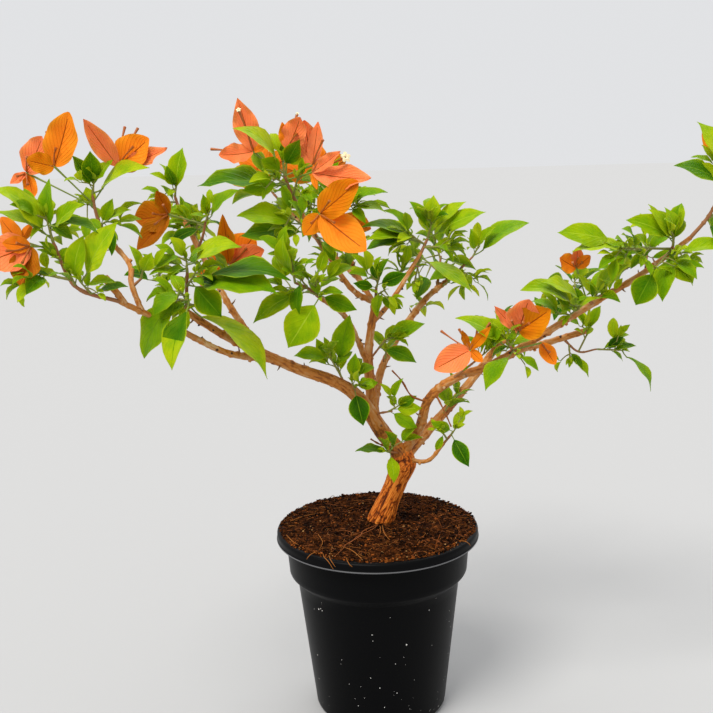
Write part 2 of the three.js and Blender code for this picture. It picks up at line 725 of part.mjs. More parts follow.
// Points on an arc from angle a to angle b, in radians
function arc(centre, radius, a, b, steps) {
  return Array.from({ length: steps + 1 }, (_, i) => {
    const turn = mix(a, b, i / steps);
    return [centre[0] + radius * Math.cos(turn), centre[1] + radius * Math.sin(turn)];
  });
}

const COLLAR_FOOT = POT.height - POT.collarHeight;
const BODY_TOP = COLLAR_FOOT - POT.stepHeight;
const RIM_FOOT = POT.height - POT.rimHeight;

// Radius of the pot's outer wall at a height below its rim
function potRadius(z) {
  if (z > COLLAR_FOOT) {
    return mix(POT.collarFootRadius, POT.collarTopRadius, (z - COLLAR_FOOT) / (RIM_FOOT - COLLAR_FOOT));
  }
  if (z > BODY_TOP) return mix(POT.bodyTopRadius, POT.collarFootRadius, (z - BODY_TOP) / POT.stepHeight);
  return mix(POT.footRadius, POT.bodyTopRadius, z / BODY_TOP);
}

const potInside = (z) => potRadius(z) - POT.wall;

function makePot() {
  const { rimRadius: rim, rimRound: round, footRadius: foot, footRound, height, wall, floor } = POT;
  const lip = potInside(RIM_FOOT);
  const outer = [
    [0, 0],
    ...arc([foot - footRound, footRound], footRound, -Math.PI / 2, 0, 3),
    [potRadius(BODY_TOP), BODY_TOP],
    [potRadius(COLLAR_FOOT), COLLAR_FOOT],
    [potRadius(RIM_FOOT), RIM_FOOT],
    [rim - 0.6, RIM_FOOT],
    ...arc([rim - round, height - round], round, 0, Math.PI / 2, 2),
    ...arc([lip + round, height - round], round, Math.PI / 2, Math.PI, 2),
  ];
  const inner = [
    [potInside(COLLAR_FOOT), COLLAR_FOOT],
    [potInside(BODY_TOP), BODY_TOP],
    [potInside(floor), floor],
    [0, floor],
  ];
  let pot = solidOf(lathe([...outer, ...inner], POT.segments));
  for (let i = 0; i < POT.drainHoles; i++) {
    const turn = (2 * Math.PI * i) / POT.drainHoles;
    const hole = new THREE.CylinderGeometry(POT.drainHoleRadius, POT.drainHoleRadius, floor * 4, 8);
    hole.rotateX(Math.PI / 2);
    hole.translate(POT.drainCircleRadius * Math.cos(turn), POT.drainCircleRadius * Math.sin(turn), 0);
    pot = pot.subtract(solidOf(hole));
  }
  return pot.asOriginal().simplify(0.005);
}

// Height of the soil's top: a low crown with lumps, level round the trunk's foot
function soilTop(x, y) {
  const reach = Math.hypot(x, y) / potInside(RIM_FOOT);
  const fromTrunk = Math.hypot(x - TRUNK.foot[0], y - TRUNK.foot[1]);
  const ease = clamp01((fromTrunk - SOIL.levelRadius) / 30);
  const lump = Math.sin(x * 0.21 + 1) * Math.cos(y * 0.17) + Math.sin(x * 0.09 - y * 0.13);
  return SOIL.edgeHeight + SOIL.crown * (1 - ease * reach * reach) + SOIL.lumps * lump * ease * (1 - reach ** 4);
}

function makeSoil() {
  const wall = [POT.floor + GAP, BODY_TOP, COLLAR_FOOT].map((z) => [potInside(z) - GAP, z]);
  const edge = potInside(RIM_FOOT) - GAP;
  const top = Array.from({ length: SOIL.rings + 1 }, (_, i) => [edge * (1 - i / SOIL.rings), SOIL.edgeHeight]);
  const geometry = lathe([[0, wall[0][1]], ...wall, ...top], POT.segments);
  const places = geometry.attributes.position;
  for (let i = 0; i < places.count; i++) {
    if (places.getZ(i) < SOIL.edgeHeight - 0.1) continue;
    places.setZ(i, soilTop(places.getX(i), places.getY(i)));
  }
  return solidOf(geometry);
}

// The trunk and the limbs
const curves = { trunk: curveThrough(TRUNK.points.map(vec)) };
const radiiAt = { trunk: runThrough(TRUNK.radii) };
for (const [name, { from, at, radii, points }] of Object.entries(LIMBS)) {
  curves[name] = curveThrough([curves[from].getPoint(at), ...points.map(vec)]);
  radiiAt[name] = runThrough(radii);
}

// Ridges that run up the trunk's bark
const barkRidge = (share, turn) => 1 + 0.05 * Math.sin(5 * turn + 4 * share) + 0.04 * Math.sin(3 * turn - 9 * share);

function makeTrunk(extra) {
  const radius = (share, turn) => radiiAt.trunk(share) * barkRidge(share, turn);
  const above = new THREE.BoxGeometry(200, 200, 400).translate(0, 0, GROUND + GAP + 200);
  return tube(curves.trunk, radius, TRUNK_SIDES, 10, extra).intersect(solidOf(above));
}

function makeLimb(name, extra) {
  const { points, radii } = LIMBS[name];
  const sides = radii[0] > 3 ? BOUGH_SIDES : SIDE_LIMB_SIDES;
  return tube(curves[name], radiiAt[name], sides, points.length * 2 + 1, extra);
}

const wood = { trunk: makeTrunk(0) };
const woodWithGap = [makeTrunk(GAP)];
for (const name of Object.keys(LIMBS)) {
  const cut = makeLimb(name, 0).subtract(wasm.Manifold.union(woodWithGap));
  wood[name] = largest(cut.asOriginal().simplify(0.02));
  woodWithGap.push(makeLimb(name, GAP));
}
const allWoodWithGap = wasm.Manifold.union(woodWithGap);

// Points along the middle of the trunk and of every limb, with the radius there, for the clearance rule
const woodPoints = Object.keys(curves).flatMap((name) => {
  const count = curves[name].points.length * 8;
  return Array.from({ length: count + 1 }, (_, i) => ({
    place: curves[name].getPoint(i / count),
    radius: radiiAt[name](i / count),
  }));
});

// Half the width of a blade at a share of its length, as a share of its greatest half width
function outline(share, widest) {
  if (share < widest) return Math.pow(Math.sin((Math.PI / 2) * (share / widest)), 0.75);
  return Math.pow(Math.cos((Math.PI / 2) * clamp01((share - widest) / (1 - widest))), 1.25);
}

// A blade, of a leaf or a bract: its foot, the way it points, the side that faces up and its sizes.
// It is arched over its length by curl and folded up from its midrib by fold, both in radians.
function makeBlade(foot, along, up, sizes) {
  const side = new THREE.Vector3().crossVectors(along, up).normalize();
  const face = new THREE.Vector3().crossVectors(side, along).normalize();
  return { foot, along, side, face, ...sizes };
}

// A point of a blade: share of its length, and across from -1 to 1
function bladePoint(blade, share, across) {
  const { foot, along, side, face, length, width, curl, fold, widest } = blade;
  const bend = curl * (share - 0.5);
  const chord = length / (2 * Math.sin(curl / 2));
  const forward = chord * (Math.sin(bend) + Math.sin(curl / 2));
  const rise = chord * (Math.cos(bend) - Math.cos(curl / 2));
  const half = (width / 2) * outline(share, widest) * across;
  const faceHere = face.clone().multiplyScalar(Math.cos(bend)).addScaledVector(along, Math.sin(bend));
  const point = foot.clone().addScaledVector(along, forward).addScaledVector(face, rise);
  point.addScaledVector(side, half * Math.cos(fold)).addScaledVector(faceHere, Math.abs(half) * Math.sin(fold));
  return { point, faceHere };
}

// The solid of a blade with its stalk: three edges from a root sunk in the twig at start to the tip
function bladeSolid(start, blade) {
  const { side, face } = blade;
  const places = [
    start.clone().addScaledVector(side, -LEAF.rootRadius).addScaledVector(face, LEAF.rootRadius / 2),
    start.clone().addScaledVector(side, LEAF.rootRadius).addScaledVector(face, LEAF.rootRadius / 2),
    start.clone().addScaledVector(face, -LEAF.rootRadius),
  ];
  const stations = blade.length < LEAF.plainUnder ? [0.4] : [0.26, 0.66];
  for (const share of stations) {
    const middle = bladePoint(blade, share, 0);
    const keel = middle.point.addScaledVector(middle.faceHere, -LEAF.keel);
    places.push(bladePoint(blade, share, -1).point, bladePoint(blade, share, 1).point, keel);
  }
  const tip = places.length;
  places.push(bladePoint(blade, 1, 0).point);
  const triangles = ringTriangles(3, stations.length + 1);
  for (let k = 0; k < 3; k++) triangles.push(tip - 3 + k, tip - 3 + ((k + 1) % 3), tip);
  return solidFrom(places.flatMap((p) => p.toArray()), triangles);
}

// Points spread over a blade, for the clearance rule
const SAMPLE_PLACES = [[0.05, 0], [0.25, 0], [0.5, 0], [0.75, 0], [1, 0]];
for (const share of [0.2, 0.42, 0.66, 0.84]) SAMPLE_PLACES.push([share, -0.85], [share, 0.85]);
const bladeSamples = (blade) => SAMPLE_PLACES.map(([share, across]) => bladePoint(blade, share, across).point);

// The leaves of one spray: the named ones from its foot up, then those that fill its fan
function sprayLeaves(curve, spray, draw) {
  const [fanFrom, fanTo] = spray.fan;
  const phase = draw() * 2 * Math.PI;
  const facing = mix(-0.6, 0.5, clamp01((spray.tip[1] - 40) / 70));
  const total = spray.named.length + spray.fill;
  return Array.from({ length: total }, (_, i) => {
    const dice = Array.from({ length: 6 }, draw);
    const named = spray.named[i];
    const rank = total > 1 ? i / (total - 1) : 1;
    const place = i - spray.named.length;
    const spread = spray.fill > 1 ? 1 - place / (spray.fill - 1) : 0;
    const fanClock = mix(fanFrom, fanTo, 0.5 + ((place % 2 ? 1 : -1) * spread) / 2) + mix(-14, 14, dice[0]);
    const fanLength = spray.length * mix(1.1, 0.75, rank) * mix(0.88, 1.12, dice[1]);
    const lean = named ? mix(-0.45, 0.1, dice[2]) : LEAF.lean * Math.sin(GOLDEN_ANGLE * place + phase);
    const along = clockDirection(named ? named[0] : fanClock, lean);
    const length = named ? named[1] / Math.cos(lean) : fanLength;
    const broad = named ? named[2] ?? 1 : mix(0.88, 1.14, dice[3]);
    const from = curve.getPoint(mix(0.12, 1, rank));
    const twig = place >= 0 && place % SIDE_TWIG.every === 1;
    const start = twig ? from.clone().addScaledVector(along, length * SIDE_TWIG.share) : from;
    const blade = makeBlade(
      start.clone().addScaledVector(along, length * LEAF.petiole),
      along,
      vec([mix(-0.35, 0.35, dice[5]), facing + 0.5 * lean, 0.85]),
      {
        length: length * (1 - LEAF.petiole),
        width: length * (1 - LEAF.petiole) * LEAF.widthShare * broad,
        curl: mix(0.3, 0.9, dice[4]),
        fold: LEAF.fold,
        widest: LEAF.widest,
      },
    );
    return { twig: twig ? new THREE.LineCurve3(from, start) : null, start, blade, named: Boolean(named) };
  });
}

// The bracts of one flower, open to the front or the back
function flowerBracts(flower, draw) {
  const side = flower.back ? 1 : -1;
  const end = vec(flower.end);
  return flower.bracts.map(([clock, length, broad = 1]) => {
    const dice = Array.from({ length: 3 }, draw);
    const lean = side * mix(0.05, 0.6, dice[0]);
    const along = clockDirection(clock, lean);
    const reach = length / Math.cos(lean);
    const blade = makeBlade(end, along, vec([0, side, 0.35]), {
      length: reach,
      width: reach * BRACT.widthShare * broad,
      curl: mix(-0.75, -0.25, dice[1]),
      fold: mix(0.2, 0.5, dice[2]),
      widest: BRACT.widest,
    });
    return { start: end.clone().addScaledVector(along, -1), blade };
  });
}

// The clearance rule: a blade's samples lie within the mass's reach, above the pot and off the wood,
// and keep their distance from the samples of other masses and of their own mass. A blade that has its
// place in the tables may come nearer to them than one that fills a spray.
function isClear(samples, centre, reach, others, own) {
  return samples.every((point) => {
    if (point.distanceTo(centre) > reach || point.z < POT.height + 9) return false;
    if (woodPoints.some(({ place, radius }) => point.distanceTo(place) < radius + CLEARANCE.wood)) return false;
    if (own?.some((other) => point.distanceTo(other) < CLEARANCE.own)) return false;
    return !others.some((other) => point.distanceTo(other) < (own ? CLEARANCE.other : CLEARANCE.placed));
  });
}

// The stem of a mass and the curves of its sprays, with their solid
function makeFrame(mass) {
  const stem = curveThrough([curves[mass.on].getPoint(mass.at), ...mass.stem.map(vec)]);
  const thin = mass.radius * 0.8;
  const curvesOfSprays = mass.sprays.map(({ at, tip }) => curveThrough([stem.getPoint(at), vec(tip)]));
  const solid = wasm.Manifold.union([
    tube(stem, runThrough([mass.radius, thin]), TWIG_SIDES, mass.stem.length * 2),
    ...curvesOfSprays.map((curve) => tube(curve, runThrough([thin, LEAF.rootRadius]), TWIG_SIDES, 1)),
  ]);
  return { stem, thin, curvesOfSprays, solid };
}

const taken = []; // samples of the masses made so far
const masses = []; // their solids
const frames = new Map(Object.values(MASSES).map((mass) => [mass, makeFrame(mass)])); // of those to come

function isApart(solid) {
  const others = [...masses, ...[...frames.values()].map((frame) => frame.solid)];
  return others.every((other) => solid.minGap(other, GAP) >= GAP);
}

function makeMass(mass) {
  const draw = seeded(mass.seed);
  const centre = vec(mass.stem[mass.stem.length - 1]);
  const { stem, thin, curvesOfSprays, solid: frame } = frames.get(mass);
  frames.delete(mass);
  const solids = [frame];
  const twigs = [stem, ...curvesOfSprays];
  const samples = [];
  for (const [i, spray] of mass.sprays.entries()) {
    for (const { twig, start, blade, named } of sprayLeaves(curvesOfSprays[i], spray, draw)) {
      const mine = bladeSamples(blade);
      const solid = bladeSolid(start, blade);
      if (!isClear(mine, centre, mass.reach, taken, named ? null : samples) || !isApart(solid)) continue;
      if (twig) solids.push(tube(twig, runThrough([LEAF.rootRadius, LEAF.rootRadius]), TWIG_SIDES, 1, 0.4));
      solids.push(solid);
      samples.push(...mine);
    }
  }
  for (const flower of mass.flowers) {
    const stalk = new THREE.LineCurve3(stem.getPoint(flower.at), vec(flower.end));
    const bracts = flowerBracts(flower, draw).filter(
      ({ start, blade }) =>
        isClear(bladeSamples(blade), centre, mass.reach, taken, null) && isApart(bladeSolid(start, blade)),
    );
    if (!bracts.length) continue;
    twigs.push(stalk);
    solids.push(tube(stalk, runThrough([thin, BRACT.stalkRadius]), TWIG_SIDES, 1, 0.5));
    for (const { start, blade } of bracts) {
      solids.push(bladeSolid(start, blade));
      samples.push(...bladeSamples(blade));
    }
  }
  for (const twig of twigs) taken.push(...twig.getPoints(8).slice(2));
  taken.push(...samples);
  const joined = wasm.Manifold.union(solids).subtract(allWoodWithGap);
  const made = parted(largest(joined.asOriginal().simplify(0.05)));
  masses.push(made);
  return made;
}

// The finished plant
const plant = new THREE.Group();
plant.name = "bougainvillea";

function add(name, solid, look) {
  const [color, roughness] = COLOURS[look];
  const material = new THREE.MeshStandardMaterial({ color, roughness, metalness: 0 });
  const mesh = new THREE.Mesh(geometryOf(solid), material);
  mesh.name = name;
  plant.add(mesh);
}

add("pot", makePot(), "pot");
add("soil", makeSoil(), "soil");
for (const [name, solid] of Object.entries(wood)) add(name, solid, name === "trunk" ? "trunk" : "bough");
for (const [name, mass] of Object.entries(MASSES)) add(name, makeMass(mass), "foliage");

export default plant;
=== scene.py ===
"""A potted bougainvillea bush: its bark, twigs, leaves, bracts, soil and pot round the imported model.

Lengths are in millimetres until a mesh is made, in the part's own frame: +X right, +Y away from the
front, +Z up, with the origin at the centre of the pot's flat underside.
"""
import math

import bmesh
import bpy
import numpy as np
from mathutils import Matrix, Vector


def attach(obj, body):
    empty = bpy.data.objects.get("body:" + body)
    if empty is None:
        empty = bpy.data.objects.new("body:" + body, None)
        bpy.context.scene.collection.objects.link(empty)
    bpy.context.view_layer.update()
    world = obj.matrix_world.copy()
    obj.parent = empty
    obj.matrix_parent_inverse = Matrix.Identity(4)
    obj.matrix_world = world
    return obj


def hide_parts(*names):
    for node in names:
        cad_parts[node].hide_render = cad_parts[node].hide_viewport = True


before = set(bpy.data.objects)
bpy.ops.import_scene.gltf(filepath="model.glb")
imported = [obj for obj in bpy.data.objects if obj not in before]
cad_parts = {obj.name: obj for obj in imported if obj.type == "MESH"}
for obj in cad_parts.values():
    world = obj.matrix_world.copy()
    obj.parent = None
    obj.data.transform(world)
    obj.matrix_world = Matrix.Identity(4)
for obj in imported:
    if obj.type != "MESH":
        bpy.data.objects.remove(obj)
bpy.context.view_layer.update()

MM = 0.001
BODY = "root"
GOLDEN = 2.399963  # the turn from one leaf to the next, in radians
ANY_TURN = 6.28  # about a full turn, for an angle that is drawn
EYE = np.array([-13.9, -792.9, 457.7])  # where the camera stands

# The sizes and tables of the part's source
POT = {
    "height": 158, "rim": 85, "rim_height": 8, "rim_round": 2.4, "collar_top": 77, "collar_foot": 75,
    "collar_height": 36, "body_top": 68.6, "step": 6, "foot": 55.7, "foot_round": 5, "wall": 2, "floor": 3,
    "holes": 8, "hole_radius": 4.5, "hole_circle": 38,
}
SOIL = {"edge": 155.5, "crown": 5}
GROUND = SOIL["edge"] + SOIL["crown"]
LEAF = {"petiole": 0.16, "width_share": 0.56, "widest": 0.38, "fold": 0.18, "lean": 0.95}
BRACT = {"width_share": 0.72, "widest": 0.42}
CLEARANCE = {"wood": 1.5, "own": 3.5, "other": 4.5, "placed": 1.5, "fine": 1.1, "above_pot": 9}
SIDE_TWIG = {"every": 4, "share": 0.32}
TRUNK = {
    "points": [[1, 9, 148], [4, 8, 161], [11, 6, 180], [18, 4, 197], [22, 3, 211], [21, 2, 224]],
    "radii": [14, 11.3, 9.6, 10, 12, 6],
}


def limb(start, at, points, *radii):
    """A bough: the wood it leaves and where along it, the points it runs through and its radii."""
    return {"from": start, "at": at, "points": points, "radii": radii}


def mass(on, at, seed, radius, reach, stem, sprays, flowers=()):
    """A mass of leaves: the wood it stands on and where, its stem, and how far it may reach."""
    return {
        "on": on, "at": at, "seed": seed, "radius": radius, "reach": reach, "stem": stem,
        "sprays": sprays, "flowers": flowers,
    }


def spray(at, tip, fill, length, fan, named=(), looks=""):
    """A spray: named leaves by clock angle, length and breadth, then some that fill a fan of angles."""
    return {
        "at": at, "tip": tip, "fill": fill, "length": length, "fan": fan, "named": named,
        "looks": looks.split(),
    }


def flower(at, end, bracts, looks="", back=False):
    """A flower: where its stalk leaves the stem and ends, and its bracts by angle, length and breadth."""
    return {"at": at, "end": end, "bracts": bracts, "looks": looks.split(), "back": back}


LIMBS = {
    "bough_left": limb("trunk", 0.9, [[6, -4, 240], [-13, -16, 272], [-32, -24, 288], [-60, -34, 301],
                       [-91, -44, 318]], 7.2, 6.2, 5, 4.2, 3.7),
    "bough_left_upper": limb("bough_left", 0.96, [[-113, -50, 331], [-150, -60, 359]], 3.3, 2.4),
    "bough_left_lower": limb("bough_left", 0.9, [[-112, -62, 321], [-147, -85, 346], [-179, -100, 366]],
                             2.5, 1.9),
    "bough_left_stub": limb("bough_left_lower", 0.97, [[-189, -100, 384]], 2.1, 2.4),
    "bough_left_upright": limb("bough_left_lower", 0.86, [[-175, -80, 376], [-180, -62, 390],
                               [-199, -56, 411]], 1.9, 1.6),
    "bough_left_back": limb("bough_left", 0.97, [[-113, -20, 351], [-139, 12, 392], [-156, 28, 424]], 2.6,
                            1.8),
    "bough_centre": limb("bough_left", 0.27, [[-3, 2, 278], [-4, 9, 305], [3, 22, 346]], 4.8, 2.9),
    "bough_centre_front": limb("bough_centre", 0.55, [[-21, -22, 338], [-40, -46, 358]], 2.3, 1.7),
    "bough_centre_side": limb("bough_centre", 0.86, [[17, 38, 343], [44, 64, 380]], 2.2, 1.6),
    "bough_centre_right": limb("bough_centre", 0.1, [[10, 40, 290], [45, 92, 331], [80, 118, 356]], 3.4,
                               2.2),
    "bough_top_front": limb("bough_centre", 0.98, [[-16, 2, 358], [-35, -24, 390], [-52, -34, 420]], 2.2,
                            1.6),
    "bough_top_back": limb("bough_centre", 0.97, [[-10, 42, 362], [-20, 52, 384], [-27, 58, 408]], 2.2,
                           1.6),
    "bough_back": limb("bough_top_back", 0.3, [[-34, 72, 382], [-70, 100, 416]], 1.9, 1.6),
    "bough_right": limb("trunk", 0.9, [[36, -6, 243], [44, -15, 270], [64, -24, 288], [92, -32, 300],
                        [116, -38, 315]], 4, 3.4, 2.9),
    "bough_right_upper": limb("bough_right", 0.98, [[160, -36, 341], [206, -41, 370], [240, -44, 396]], 2.8,
                              1.7),
    "bough_right_stub": limb("bough_right", 0.95, [[136, -22, 314], [175, -8, 322]], 2.2, 2.4),
    "bough_right_behind": limb("trunk", 0.84, [[47, 28, 233], [68, 48, 249], [93, 66, 273], [116, 80, 298]],
                               4.6, 3),
    "bough_right_back": limb("bough_right_behind", 0.97, [[146, 78, 318], [170, 72, 336]], 2.6, 1.8),
    "twig_fork": limb("trunk", 0.86, [[42, -10, 216], [55, -16, 232]], 1.7, 1.3),
}

